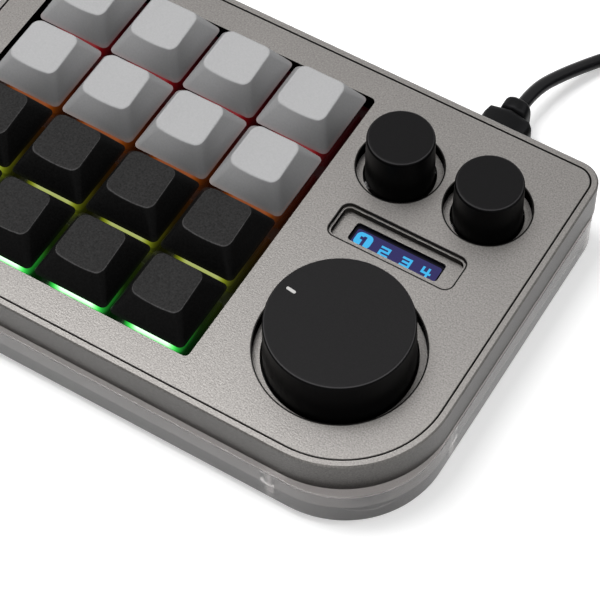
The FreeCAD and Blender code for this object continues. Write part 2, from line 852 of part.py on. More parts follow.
def coil_heading(turns):
    """Which way the coil's centre line runs there, and square to its radius at its two ends."""
    step = 0.01
    ahead = coil_point(min(turns + step, coil_total_turns))
    behind = coil_point(max(turns - step, 0))
    angle = math.pi / 2 - 2 * math.pi * turns
    if turns == 0 or turns == coil_total_turns:
        return vec(math.sin(angle), -math.cos(angle), 0)
    return (ahead - behind).normalize()


def biarc(start, heading_in, end, heading_out):
    """Two arcs that leave start and reach end along the two headings."""
    chord = end - start
    both = heading_in + heading_out
    a = 2 * (1 - heading_in.dot(heading_out))
    b = chord.dot(both)
    c = chord.dot(chord)
    reach = c / (2 * b) if a < 1e-9 else (-b + math.sqrt(b * b + a * c)) / a
    joint = (start + heading_in * reach + end - heading_out * reach) * 0.5
    return [arc_from(start, heading_in, joint), arc_from(joint, joint - start, end, heading_out)]


def arc_from(start, heading, end, heading_out=None):
    """One arc, given its heading at the start, or at the end."""
    chord = end - start
    if heading_out is not None:
        return reverse_arc(start, end, heading_out)
    along = vec(*heading).normalize()
    across = chord - along * chord.dot(along)
    radius = chord.dot(chord) / (2 * across.Length)
    middle_of_circle = start + across.normalize() * radius
    half = (start + end) * 0.5 - middle_of_circle
    return Part.Arc(start, middle_of_circle + half.normalize() * radius, end).toShape()


def reverse_arc(start, end, heading_out):
    back = vec(*heading_out) * -1
    chord = start - end
    along = back.normalize()
    across = chord - along * chord.dot(along)
    radius = chord.dot(chord) / (2 * across.Length)
    middle_of_circle = end + across.normalize() * radius
    half = (start + end) * 0.5 - middle_of_circle
    return Part.Arc(start, middle_of_circle + half.normalize() * radius, end).toShape()


def coil_path():
    steps = round(coil_total_turns * coil_steps_per_turn)
    start = coil_point(0)
    edges = [Part.LineSegment(start - vec(coil_lead, 0, 0), start).toShape()]
    for n in range(steps):
        here = n * coil_total_turns / steps
        there = (n + 1) * coil_total_turns / steps
        edges += biarc(coil_point(here), coil_heading(here), coil_point(there), coil_heading(there))
    end = coil_point(coil_total_turns)
    tail = end + coil_heading(coil_total_turns) * coil_lead
    edges.append(Part.LineSegment(end, tail).toShape())
    return Part.Wire(edges)


def coil_gap(path):
    """The least clear distance between two turns of the coil, from points along its centre line."""
    points = []
    for edge in path.Edges:
        points += edge.discretize(Distance=1.0)[:-1]
    apart = round(6 * cord_radius)
    least = min(
        (points[i] - points[j]).Length
        for i in range(len(points)) for j in range(i + apart, len(points))
    )
    return least - 2 * cord_radius


def cord_coil():
    path = coil_path()
    coil = tube(path, cord_radius)
    print("coil length", round(path.Length, 1), "turns", coil_total_turns, "least gap",
          round(coil_gap(path), 2), "volume over section times length",
          round(coil.Volume / (math.pi * cord_radius ** 2 * path.Length), 4))
    return coil


def computer_plug():
    """The plug for the computer, at rest beside the coil, its metal mouth away from the cord."""
    heading = coil_heading(coil_total_turns)
    start = coil_point(coil_total_turns) + heading * coil_lead
    neck = Part.makeCone(far_neck_radius * far_neck_taper, far_neck_radius, far_neck_length, start, heading)
    grip_start = start.y - far_neck_length
    grip = box(start.x, grip_start - far_plug_length / 2, far_plug_width, far_plug_length,
               start.z - far_plug_height / 2, start.z + far_plug_height / 2)
    long_edges = [e for e in grip.Edges if abs(e.tangentAt(0).z) > 0.9]
    grip = grip.makeFillet(far_plug_corner, long_edges)
    shell_start = grip_start - far_plug_length
    shell_middle = shell_start - far_shell_length / 2
    shell_top = start.z + far_shell_height / 2
    shell = box(start.x, shell_middle, far_shell_width, far_shell_length,
                start.z - far_shell_height / 2, shell_top)
    mouth = box(start.x, shell_middle - cut_past, far_shell_width - 2 * far_shell_wall, far_shell_length,
                start.z - far_tongue_top, shell_top - far_shell_wall)
    return neck.fuse([grip, shell]).removeSplitter().cut(mouth)


def write(name, shape):
    shape.exportStep("parts/" + name + ".step")
    print(name, "solids", len(shape.Solids), "volume", round(shape.Volume, 1), "valid", shape.isValid())


def main():
    os.makedirs("parts", exist_ok=True)
    write("top_plate", top_plate())
    write("outer_frame", outer_frame())
    write("base_tray", base_tray())
    write("switch_plate", switch_plate())
    write("circuit_board", circuit_board())
    write("controller_chip", controller_chip())
    write("light_diodes", light_diodes())
    write("usb_socket", usb_socket())
    write("display_module", display_module())
    write("case_screws", case_screws())
    write("rubber_feet", rubber_feet())
    places = [place for _, _, place in key_places()]
    write("switch_lower_housings", Part.makeCompound([lower_housing(p) for p in places]))
    write("switch_upper_housings", Part.makeCompound([upper_housing(p) for p in places]))
    write("switch_springs", Part.makeCompound([switch_spring(p) for p in places]))
    for row, column, place in key_places():
        name = "_r" + str(row + 1) + "_c" + str(column + 1)
        write("keycap" + name, keycap(place))
        write("key_stem" + name, key_stem(place))
    controls = {
        "dial": (dial_place, dial_height),
        "left_knob": (knob_left_place, knob_height),
        "right_knob": (knob_right_place, knob_height),
    }
    write("encoder_bodies", Part.makeCompound([encoder_body(place) for place, _ in controls.values()]))
    write("dial", dial())
    write("left_knob", small_knob(knob_left_place, left_knob_lift))
    write("right_knob", small_knob(knob_right_place, 0))
    for name, (place, height) in controls.items():
        write(name + "_shaft", encoder_shaft(place, height))
        write(name + "_rotor", encoder_rotor(place))
    write("usb_plug", usb_plug())
    write("usb_cord", usb_cord())
    write("cord_coil", cord_coil())
    write("computer_plug", computer_plug())


main()
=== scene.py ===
import math

import bmesh
import bpy
from mathutils import Matrix, Vector


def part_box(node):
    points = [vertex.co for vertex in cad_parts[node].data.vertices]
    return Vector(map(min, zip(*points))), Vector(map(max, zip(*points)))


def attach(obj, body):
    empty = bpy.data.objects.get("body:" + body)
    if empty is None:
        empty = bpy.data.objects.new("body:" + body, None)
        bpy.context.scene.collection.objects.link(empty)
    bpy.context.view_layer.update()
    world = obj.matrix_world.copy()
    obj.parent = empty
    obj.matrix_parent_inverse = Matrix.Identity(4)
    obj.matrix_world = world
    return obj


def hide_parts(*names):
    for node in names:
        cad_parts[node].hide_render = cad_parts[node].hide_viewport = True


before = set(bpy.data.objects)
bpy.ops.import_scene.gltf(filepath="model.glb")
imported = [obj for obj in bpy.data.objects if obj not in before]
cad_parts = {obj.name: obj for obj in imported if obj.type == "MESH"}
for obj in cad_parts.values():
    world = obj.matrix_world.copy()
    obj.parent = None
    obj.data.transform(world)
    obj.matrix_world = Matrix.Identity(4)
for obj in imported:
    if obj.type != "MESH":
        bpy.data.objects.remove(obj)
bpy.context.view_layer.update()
mm = 0.001
aligned = 0.9  # cosine from which two directions count as the same
mergeDistance = 0.0001 * mm

# camera, at the photograph's viewing angle
camera = {
    "target": (0.03696, -0.0068, 0.0215),
    "turn": 30.86,
    "lift": 57.17,
    "roll": -0.13,
    "distance": 0.49628,
    "lens": 142.79,
    "sensor": 36.0,
    "shift": (-0.0753, -0.0167),
    "near": 0.01,
}


def makeCamera():
    turn = math.radians(camera["turn"])
    lift = math.radians(camera["lift"])
    back = Vector((math.sin(turn) * math.cos(lift), -math.cos(turn) * math.cos(lift), math.sin(lift)))
    right = Vector((0, 0, 1)).cross(back).normalized()
    basis = Matrix((right, back.cross(right), back)).transposed().to_4x4()
    roll = Matrix.Rotation(math.radians(camera["roll"]), 4, "Z")
    place = Matrix.Translation(Vector(camera["target"]) + back * camera["distance"])
    data = bpy.data.cameras.new("keypadCamera")
    data.lens = camera["lens"]
    data.sensor_width = camera["sensor"]
    data.shift_x, data.shift_y = camera["shift"]
    data.clip_start = camera["near"]
    item = bpy.data.objects.new("keypadCamera", data)
    bpy.context.scene.collection.objects.link(item)
    item.matrix_world = place @ basis @ roll
    bpy.context.scene.camera = item


makeCamera()
print("camera placed")


# small helpers for pieces
def addObject(name, data):
    item = bpy.data.objects.new(name, data)
    bpy.context.scene.collection.objects.link(item)
    return item


def middleOf(node):
    low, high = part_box(node)
    return (low.x + high.x) / 2, (low.y + high.y) / 2


def finishMesh(bm, name, sharpAngle=38.0):
    bmesh.ops.remove_doubles(bm, verts=bm.verts, dist=mergeDistance)
    bmesh.ops.recalc_face_normals(bm, faces=bm.faces)
    limit = math.radians(sharpAngle)
    for face in bm.faces:
        face.smooth = True
    for edge in bm.edges:
        edge.smooth = len(edge.link_faces) == 2 and edge.calc_face_angle(0.0) < limit
    mesh = bpy.data.meshes.new(name)
    bm.to_mesh(mesh)
    bm.free()
    item = addObject(name, mesh)
    item.modifiers.new("weighted", "WEIGHTED_NORMAL").keep_sharp = True
    return item


def boxBlock(bm, center, size, corner=0.0, segments=4):
    # a block, its upright edges rounded where a corner is given
    place = Matrix.Translation(center) @ Matrix.Diagonal((*size, 1))
    made = bmesh.ops.create_cube(bm, size=1.0, matrix=place)
    if corner:
        edges = {e for v in made["verts"] for e in v.link_edges}
        upright = [e for e in edges if abs(e.verts[0].co.z - e.verts[1].co.z) > size[2] / 2]
        bmesh.ops.bevel(bm, geom=upright, offset=corner, segments=segments, profile=0.5,
                        affect="EDGES", material=-1)


def give(item, body, material):
    item.data.materials.clear()
    item.data.materials.append(material)
    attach(item, body)
    return item


# material helpers
def addNode(tree, kind, inputs=None, **settings):
    node = tree.nodes.new(kind)
    for key, value in settings.items():
        setattr(node, key, value)
    for key, value in (inputs or {}).items():
        if isinstance(value, bpy.types.NodeSocket):
            tree.links.new(value, node.inputs[key])
        else:
            node.inputs[key].default_value = value
    return node


def calc(tree, operation, *values):
    return addNode(tree, "ShaderNodeMath", dict(enumerate(values)), operation=operation).outputs[0]


def scaled(tree, colour, amount):
    node = addNode(tree, "ShaderNodeVectorMath", {0: colour, "Scale": amount}, operation="SCALE")
    return node.outputs[0]


def ranged(tree, value, start, end, low=0.0, high=1.0):
    # runs smoothly from low to high as the value goes from start to end
    inputs = {"Value": value, "From Min": start, "From Max": end, "To Min": low, "To Max": high}
    return addNode(tree, "ShaderNodeMapRange", inputs, interpolation_type="SMOOTHSTEP").outputs["Result"]


def useGroup(tree, group, inputs):
    return addNode(tree, "ShaderNodeGroup", inputs, node_tree=group)


def newGroup(name, inputs, outputs):
    group = bpy.data.node_groups.new(name, "ShaderNodeTree")
    for label, kind, value in inputs:
        socket = group.interface.new_socket(name=label, in_out="INPUT", socket_type=kind)
        if value is not None:
            socket.default_value = value
    for label, kind in outputs:
        group.interface.new_socket(name=label, in_out="OUTPUT", socket_type=kind)
    return group, group.nodes.new("NodeGroupInput"), group.nodes.new("NodeGroupOutput")


grain = {"detail": 2.0, "roughness": 0.6, "broadScale": 45.0, "broadDetail": 3.0}


def grainGroup():
    # fine grain: a tinted colour, a roughness and a height for bump
    group, into, out = newGroup("fineGrain", [
        ("Vector", "NodeSocketVector", None),
        ("Color", "NodeSocketColor", (0.5, 0.5, 0.5, 1)),
        ("Grains", "NodeSocketFloat", 3000.0),
        ("Tint", "NodeSocketFloat", 0.1),
        ("Roughness", "NodeSocketFloat", 0.5),
        ("Wander", "NodeSocketFloat", 0.04),
    ], [("Color", "NodeSocketColor"), ("Roughness", "NodeSocketFloat"), ("Height", "NodeSocketFloat")])
    vector = into.outputs["Vector"]
    fine = addNode(group, "ShaderNodeTexNoise", {
        "Vector": vector, "Scale": into.outputs["Grains"],
        "Detail": grain["detail"], "Roughness": grain["roughness"],
    })
    broad = addNode(group, "ShaderNodeTexNoise",
                    {"Vector": vector, "Scale": grain["broadScale"], "Detail": grain["broadDetail"]})
    swing = calc(group, "SUBTRACT", fine.outputs["Fac"], 0.5)
    speckle = calc(group, "MULTIPLY", swing, calc(group, "MULTIPLY", into.outputs["Tint"], 2.0))
    drift = calc(group, "SUBTRACT", broad.outputs["Fac"], 0.5)
    drift = calc(group, "MULTIPLY", drift, into.outputs["Wander"])
    shade = calc(group, "ADD", calc(group, "ADD", speckle, 1.0), drift)
    rough = calc(group, "ADD", into.outputs["Roughness"], calc(group, "MULTIPLY", drift, 2.0))
    group.links.new(scaled(group, into.outputs["Color"], shade), out.inputs["Color"])
    group.links.new(rough, out.inputs["Roughness"])
    group.links.new(fine.outputs["Fac"], out.inputs["Height"])
    return group


# painted shade and painted highlight, by the upward share of a surface's normal: where walls end and the
# lighter turned-over edge runs
paintedShadeAndHighlightBands = {
    "steep": 0.64, "wallFade": 0.18, "start": 0.04, "full": 0.14, "flat": (0.88, 0.97),
    "facing": (-0.35, 0.35), "rightShare": 0.4, "backShare": 0.15,
}


def sideGroup():
    # painted shade and highlight: surfaces that face sideways are painted darker, and the turned-over edge
    # between gets a painted highlight, lighter at the front
    group, into, out = newGroup("sideShade", [
        ("Color", "NodeSocketColor", (0.5, 0.5, 0.5, 1)),
        ("Sides", "NodeSocketFloat", 0.5),
        ("Rim", "NodeSocketFloat", 1.0),
        ("Steep", "NodeSocketFloat", paintedShadeAndHighlightBands["steep"]),
    ], [("Color", "NodeSocketColor")])
    steep = into.outputs["Steep"]
    normal = addNode(group, "ShaderNodeNewGeometry").outputs["Normal"]
    parts = addNode(group, "ShaderNodeSeparateXYZ", {0: normal})
    height = parts.outputs["Z"]
    wallEnd = calc(group, "ADD", steep, paintedShadeAndHighlightBands["wallFade"])
    upward = ranged(group, height, steep, wallEnd, into.outputs["Sides"], 1.0)
    rising = ranged(group, height, calc(group, "ADD", steep, paintedShadeAndHighlightBands["start"]),
                    calc(group, "ADD", steep, paintedShadeAndHighlightBands["full"]))
    flat = ranged(group, height, *paintedShadeAndHighlightBands["flat"])
    edge = calc(group, "MULTIPLY", rising, calc(group, "SUBTRACT", 1.0, flat))
    # the painted highlight on the turned-over edge, weaker where the edge faces the back
    lift = calc(group, "MULTIPLY", edge, calc(group, "SUBTRACT", into.outputs["Rim"], 1.0))
    rightward = calc(group, "MULTIPLY", parts.outputs["X"], paintedShadeAndHighlightBands["rightShare"])
    frontward = calc(group, "SUBTRACT", rightward, parts.outputs["Y"])
    facing = ranged(group, frontward, *paintedShadeAndHighlightBands["facing"], paintedShadeAndHighlightBands["backShare"], 1.0)
    lift = calc(group, "MULTIPLY", lift, facing)
    amount = calc(group, "MULTIPLY", upward, calc(group, "ADD", lift, 1.0))
    group.links.new(scaled(group, into.outputs["Color"], amount), out.inputs["Color"])
    return group


# light under the keys: places of its spots, how far each reaches, and its colours from front to back
glow = {
    "pitch": 19.05 * mm,
    "firstColumn": -50.45 * mm,
    "firstDiode": -32.325 * mm,
    "edge": 15.7 * mm,
    "front": -40 * mm,
    "back": 40 * mm,
    "halfLength": (3.6 * mm, 7.8 * mm),
    "halfDepth": (1.0 * mm, 6.0 * mm),
    "fadeEnd": 0.45,
    "backShare": 0.12,
    "whiteSharpness": 4.0,
    "stepsAhead": 20,
    "stops": [
        (0.00, (0.03, 0.85, 0.10)), (0.12, (0.04, 0.60, 0.05)), (0.25, (0.40, 0.60, 0.02)),
        (0.38, (0.45, 0.36, 0.02)), (0.49, (0.85, 0.22, 0.01)), (0.60, (0.80, 0.13, 0.01)),
        (0.73, (0.75, 0.01, 0.02)), (1.00, (0.40, 0.00, 0.02)),
    ],
}


def offsetWithin(tree, value, first, pitch):
    # distance from the nearest of a row of places; the steps ahead keep the remainder positive
    shifted = calc(tree, "ADD", value, (glow["stepsAhead"] + 0.5) * pitch - first)
    return calc(tree, "SUBTRACT", calc(tree, "MODULO", shifted, pitch), pitch / 2)


def glowGroup():
    # light of the diodes under the keys: its colour runs from front to back
    group, into, out = newGroup("rowGlow", [
        ("Vector", "NodeSocketVector", None),
        ("Haze", "NodeSocketFloat", 0.1),
        ("Core", "NodeSocketFloat", 1.0),
        ("White", "NodeSocketFloat", 0.5),
    ], [("Color", "NodeSocketColor")])
    place = addNode(group, "ShaderNodeSeparateXYZ", {0: into.outputs["Vector"]})
    share = addNode(group, "ShaderNodeMapRange",
                    {"Value": place.outputs["Y"], "From Min": glow["front"], "From Max": glow["back"]})
    share = share.outputs["Result"]
    ramp = addNode(group, "ShaderNodeValToRGB", {"Fac": share})
    elements = ramp.color_ramp.elements
    while len(elements) < len(glow["stops"]):
        elements.new(0.5)
    for element, (position, colour) in zip(elements, glow["stops"]):
        element.position = position
        element.color = (*colour, 1)
    across = offsetWithin(group, place.outputs["X"], glow["firstColumn"], glow["pitch"])
    along = offsetWithin(group, place.outputs["Y"], glow["firstDiode"], glow["pitch"])
    lengthwise = ranged(group, calc(group, "ABSOLUTE", across), *glow["halfLength"], 1.0, 0.0)
    depthwise = ranged(group, calc(group, "ABSOLUTE", along), *glow["halfDepth"], 1.0, 0.0)
    spot = calc(group, "MULTIPLY", lengthwise, depthwise)
    nearFront = ranged(group, share, 0.0, glow["fadeEnd"], 1.0, glow["backShare"])
    core = calc(group, "MULTIPLY", calc(group, "MULTIPLY", spot, nearFront), into.outputs["Core"])
    level = calc(group, "ADD", core, into.outputs["Haze"])
    level = calc(group, "MULTIPLY", level, calc(group, "LESS_THAN", place.outputs["X"], glow["edge"]))
    paleness = calc(group, "POWER", spot, glow["whiteSharpness"])
    paleness = calc(group, "MULTIPLY", paleness, into.outputs["White"])
    paleness = calc(group, "MULTIPLY", paleness, nearFront)
    paled = addNode(group, "ShaderNodeMix", {"Factor": paleness, 6: ramp.outputs["Color"], 7: (1, 1, 1, 1)},
                    data_type="RGBA")
    group.links.new(scaled(group, paled.outputs[2], level), out.inputs["Color"])
    return group


cornerShadeSpan = {"reach": (1.0 * mm, 17.0 * mm), "wallEnd": (0.72, 0.90), "diagonal": (0.02, 0.24), "more": 1.12}


def cornerShadeGroup():
    # painted shade: the sides of every keycap are painted darker towards its front right corner
    group, into, out = newGroup("cornerFall", [
        ("Vector", "NodeSocketVector", None),
        ("Color", "NodeSocketColor", (0.5, 0.5, 0.5, 1)),
        ("Fall", "NodeSocketFloat", 0.3),
    ], [("Color", "NodeSocketColor")])
    firstX, firstY = middleOf("keycap_r1_c1")
    place = addNode(group, "ShaderNodeSeparateXYZ", {0: into.outputs["Vector"]})
    across = offsetWithin(group, place.outputs["X"], firstX, glow["pitch"])
    along = offsetWithin(group, place.outputs["Y"], firstY, glow["pitch"])
    near = ranged(group, calc(group, "SUBTRACT", across, along), *cornerShadeSpan["reach"])
    normal = addNode(group, "ShaderNodeNewGeometry").outputs["Normal"]
    parts = addNode(group, "ShaderNodeSeparateXYZ", {0: normal})
    side = ranged(group, parts.outputs["Z"], *cornerShadeSpan["wallEnd"], 1.0, 0.0)
    between = calc(group, "ABSOLUTE", calc(group, "MULTIPLY", parts.outputs["X"], parts.outputs["Y"]))
    turned = ranged(group, between, *cornerShadeSpan["diagonal"], 1.0, cornerShadeSpan["more"])
    fall = calc(group, "MULTIPLY", calc(group, "MULTIPLY", near, turned), into.outputs["Fall"])
    shade = calc(group, "SUBTRACT", 1.0, calc(group, "MULTIPLY", fall, side))
    group.links.new(scaled(group, into.outputs["Color"], shade), out.inputs["Color"])
    return group


# the plate's round and oblong openings, each ringed by a narrow dark lip of painted shade
lips = {
    "width": 0.46 * mm, "shade": 0.04, "darkShare": 0.4, "depth": 0.1 * mm,
    "wells": {"dial": 18.1 * mm, "left_knob": 9.6 * mm, "right_knob": 9.6 * mm},
    "recess": {"place": (40.7 * mm, 8.235 * mm), "half": (15.0 * mm, 4.475 * mm), "corner": 2.0 * mm,
               "sides": 0.35},
}


def lipGroup():
    # 0 at the edge of a rounded opening and 1 from a lip's width beyond it
    group, into, out = newGroup("openingLip", [
        ("Vector", "NodeSocketVector", None),
        ("Place", "NodeSocketVector", (0, 0, 0)),
        ("Half", "NodeSocketVector", (0.01, 0.01, 0)),
        ("Corner", "NodeSocketFloat", 0.01),
        ("Lip", "NodeSocketFloat", lips["width"]),
    ], [("Mask", "NodeSocketFloat")])
    offset = addNode(group, "ShaderNodeVectorMath", {0: into.outputs["Vector"], 1: into.outputs["Place"]},
                     operation="SUBTRACT").outputs[0]
    parts = addNode(group, "ShaderNodeSeparateXYZ", {0: offset})
    halves = addNode(group, "ShaderNodeSeparateXYZ", {0: into.outputs["Half"]})
    squares = []
    for axis in ("X", "Y"):
        straight = calc(group, "SUBTRACT", halves.outputs[axis], into.outputs["Corner"])
        past = calc(group, "SUBTRACT", calc(group, "ABSOLUTE", parts.outputs[axis]), straight)
        squares.append(calc(group, "POWER", calc(group, "MAXIMUM", past, 0.0), 2.0))
    reach = calc(group, "SQRT", calc(group, "ADD", *squares))
    beyond = calc(group, "SUBTRACT", reach, into.outputs["Corner"])
    dark = calc(group, "MULTIPLY", into.outputs["Lip"], lips["darkShare"])
    group.links.new(ranged(group, beyond, dark, into.outputs["Lip"]), out.inputs["Mask"])
    return group


pixels = {"size": 0.18 * mm, "lineStart": 0.82}


def pixelGroup():
    # the fine grid of a lit panel: lines between its pixels are dimmer
    group, into, out = newGroup("pixelGrid", [
        ("Vector", "NodeSocketVector", None),
        ("Color", "NodeSocketColor", (0.1, 0.1, 0.5, 1)),
        ("Pixel", "NodeSocketFloat", pixels["size"]),
        ("Dim", "NodeSocketFloat", 0.3),
    ], [("Color", "NodeSocketColor")])
    place = addNode(group, "ShaderNodeSeparateXYZ", {0: into.outputs["Vector"]})
    shade = 1.0
    for axis in ("X", "Y"):
        steps = calc(group, "FRACT", calc(group, "DIVIDE", place.outputs[axis], into.outputs["Pixel"]))
        line = calc(group, "GREATER_THAN", steps, pixels["lineStart"])
        shade = calc(group, "SUBTRACT", shade, calc(group, "MULTIPLY", line, into.outputs["Dim"]))
    group.links.new(scaled(group, into.outputs["Color"], shade), out.inputs["Color"])
    return group


fineGrain = grainGroup()
sideShade = sideGroup()
rowGlow = glowGroup()
cornerFall = cornerShadeGroup()
openingLip = lipGroup()
pixelGrid = pixelGroup()


def newMaterial(name, sockets):
    material = bpy.data.materials.new(name)
    material.use_nodes = True
    tree = material.node_tree
    shader = tree.nodes["Principled BSDF"]
    for key, value in sockets.items():
        shader.inputs[key].default_value = value
    place = addNode(tree, "ShaderNodeTexCoord").outputs["Object"]
    return material, tree, shader, place


usualWander = 0.04
grainDepth = 0.1 * mm

# what each finish is: grains are per metre, tint and bump are how strongly they show, sides is how light
# the painted shade leaves the walls, rim is how strongly the turned-over edges get a painted highlight (below
# 1 they are painted darker), fall is how much painted shade darkens a keycap's corner, skirt is the glow low
# on the keycaps, and haze, core and white are the diodes' light painted as a glow on the diodes and the parts
# round them
finishLooks = {
    "plateMetal": {"colour": (0.188, 0.179, 0.171), "grains": 2700.0, "tint": 0.60, "roughness": 0.40,
                   "bump": 0.35, "sides": 0.04, "rim": 0.5, "lips": True,
                   "sockets": {"Metallic": 1.0, "Specular Tint": (0.1, 0.1, 0.1, 1)}},
    "frameMetal": {"colour": (0.188, 0.179, 0.171), "grains": 2700.0, "tint": 0.60, "roughness": 0.40,
                   "bump": 0.35, "sides": 0.44, "rim": 1.1, "sockets": {"Metallic": 1.0}},
    "tray": {"colour": (0.532, 0.500, 0.488), "grains": 60.0, "tint": 0.06, "roughness": 0.15, "bump": 0.0,
             "sides": 0.56, "rim": 1.0, "sockets": {"Transmission Weight": 0.9, "IOR": 1.49}},
    "blackCap": {"colour": (0.0265, 0.0260, 0.0260), "grains": 2300.0, "tint": 0.85, "roughness": 0.42,
                 "bump": 0.45, "sides": 0.23, "rim": 2.8, "skirt": 0.012, "fall": 0.40, "steep": 0.72,
                 "sockets": {"Specular IOR Level": 0.03}},
    "greyCap": {"colour": (0.450, 0.450, 0.455), "grains": 2300.0, "tint": 0.10, "roughness": 0.48,
                "bump": 0.12, "sides": 0.72, "rim": 1.0, "skirt": 0.14, "fall": 0.58, "steep": 0.72,
                "sockets": {"Specular IOR Level": 0.10}},
    "knob": {"colour": (0.0195, 0.0190, 0.0196), "grains": 3800.0, "tint": 0.22, "roughness": 0.40,
             "bump": 0.15, "sides": 0.12, "rim": 3.2, "sockets": {"Specular IOR Level": 0.03}},
    # the knob finish painted darker, as painted shade: the small knobs' tops show darker than the dial's
    "smallKnob": {"colour": (0.0115, 0.0112, 0.0116), "grains": 3800.0, "tint": 0.22, "roughness": 0.40,
                  "bump": 0.15, "sides": 0.16, "rim": 3.6, "sockets": {"Specular IOR Level": 0.03}},
    "markPaint": {"colour": (0.55, 0.54, 0.53), "grains": 2600.0, "tint": 0.10, "roughness": 0.5,
                  "bump": 0.05},
    "plate": {"colour": (0.02, 0.02, 0.02), "grains": 2200.0, "tint": 0.20, "roughness": 0.5, "bump": 0.1,
              "haze": 0.012, "core": 1.0, "white": 0.2, "sockets": {"Specular IOR Level": 0.05}},
    "housing": {"colour": (0.03, 0.03, 0.03), "grains": 900.0, "tint": 0.10, "roughness": 0.25, "bump": 0.05,
                "haze": 0.02, "core": 2.6, "white": 1.0, "sockets": {"Specular IOR Level": 0.1}},
    "lowerHousing": {"colour": (0.03, 0.03, 0.03), "grains": 900.0, "tint": 0.10, "roughness": 0.4,
                     "bump": 0.05, "haze": 0.02, "core": 1.5, "white": 0.3,
                     "sockets": {"Specular IOR Level": 0.1}},
    "diode": {"colour": (0.6, 0.6, 0.56), "grains": 1500.0, "tint": 0.05, "roughness": 0.3, "bump": 0.05,
              "haze": 0.3, "core": 3.0, "white": 0.5},
    "stem": {"colour": (0.45, 0.06, 0.05), "grains": 2000.0, "tint": 0.05, "roughness": 0.4, "bump": 0.05},
    "board": {"colour": (0.015, 0.02, 0.022), "grains": 1500.0, "tint": 0.25, "roughness": 0.35, "bump": 0.1},
    "chip": {"colour": (0.02, 0.02, 0.02), "grains": 2500.0, "tint": 0.1, "roughness": 0.6, "bump": 0.1},
    "bright": {"colour": (0.55, 0.55, 0.55), "grains": 1800.0, "tint": 0.05, "roughness": 0.25, "bump": 0.03,
               "sockets": {"Metallic": 1.0}},
    "foot": {"colour": (0.10, 0.10, 0.10), "grains": 2200.0, "tint": 0.2, "roughness": 0.75, "bump": 0.3},
    "jacket": {"colour": (0.009, 0.009, 0.010), "grains": 1500.0, "tint": 0.1, "roughness": 0.24,
               "bump": 0.08, "sockets": {"Specular IOR Level": 0.15}},
    "moulding": {"colour": (0.0065, 0.0065, 0.0070), "grains": 2400.0, "tint": 0.2, "roughness": 0.40,
                 "bump": 0.15, "sides": 0.6, "rim": 2.2, "sockets": {"Specular IOR Level": 0.06}},
    # screws with a painted glow, so they stand out light through the tray
    "screw": {"colour": (0.75, 0.74, 0.73), "grains": 1800.0, "tint": 0.05, "roughness": 0.35, "bump": 0.03,
              "sockets": {"Metallic": 0.3, "Emission Color": (1, 1, 1, 1), "Emission Strength": 0.5}},
    "glass": {"colour": (0.003, 0.003, 0.006), "grains": 60.0, "tint": 0.2, "roughness": 0.10, "bump": 0.0,
              "sockets": {"Specular IOR Level": 0.1}},
}


def lipShapes():
    # each opening as its place, half its width and depth, and its corners' radius
    for node, radius in lips["wells"].items():
        yield middleOf(node), (radius, radius), radius
    yield lips["recess"]["place"], lips["recess"]["half"], lips["recess"]["corner"]


def openingMask(tree, place, spot, half, corner):
    lip = useGroup(tree, openingLip, {
        "Vector": place, "Place": (*spot, 0), "Half": (*half, 0), "Corner": corner, "Lip": lips["width"],
    })
    return lip.outputs["Mask"]


def lipShadeColour(tree, place, colour):
    # painted shade: a narrow dark lip round each opening, on the plate's top only
    mask = 1.0
    for spot, half, corner in lipShapes():
        mask = calc(tree, "MULTIPLY", openingMask(tree, place, spot, half, corner), mask)
    height = addNode(tree, "ShaderNodeSeparateXYZ", {0: place}).outputs["Z"]
    onTop = calc(tree, "GREATER_THAN", height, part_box("top_plate")[1].z - lips["depth"])
    shade = calc(tree, "SUBTRACT", 1.0, calc(tree, "MULTIPLY", onTop, calc(tree, "SUBTRACT", 1.0, mask)))
    return scaled(tree, colour, ranged(tree, shade, 0.0, 1.0, lips["shade"], 1.0))


def wallShades(tree, place, sides):
    # painted shade on the walls: the recess is shallow, so its walls are painted lighter than those of the
    # wells
    recess = lips["recess"]
    mask = openingMask(tree, place, recess["place"], recess["half"], recess["corner"])
    return ranged(tree, mask, 0.0, 1.0, recess["sides"], sides)


skirtGlow = {"low": 0.1 * mm, "high": 1.0 * mm, "haze": 0.3, "core": 0.3, "white": 0.0}


def rowLight(tree, place, look):
    inputs = {"Vector": place, "Haze": look["haze"], "Core": look["core"], "White": look["white"]}
    return useGroup(tree, rowGlow, inputs).outputs["Color"]


def litSkirt(tree, place, amount):
    # the diodes' light on the lowest part of a keycap's sides
    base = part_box("keycap_r1_c1")[0].z
    height = addNode(tree, "ShaderNodeSeparateXYZ", {0: place}).outputs["Z"]
    low = ranged(tree, height, base + skirtGlow["low"], base + skirtGlow["high"], 1.0, 0.0)
    return scaled(tree, rowLight(tree, place, skirtGlow), calc(tree, "MULTIPLY", low, amount))


def shadedColour(tree, place, look, colour):
    # painted shade on walls, painted highlight on turned-over edges, the lips' painted shade and the keycaps'
    # painted corner shade
    if "sides" in look:
        sides = wallShades(tree, place, look["sides"]) if "lips" in look else look["sides"]
        colour = useGroup(tree, sideShade, {
            "Color": colour, "Sides": sides, "Rim": look["rim"],
            "Steep": look.get("steep", paintedShadeAndHighlightBands["steep"]),
        }).outputs["Color"]
    if "lips" in look:
        colour = lipShadeColour(tree, place, colour)
    if "fall" in look:
        colour = useGroup(tree, cornerFall, {"Vector": place, "Color": colour, "Fall": look["fall"]})
        colour = colour.outputs["Color"]
    return colour


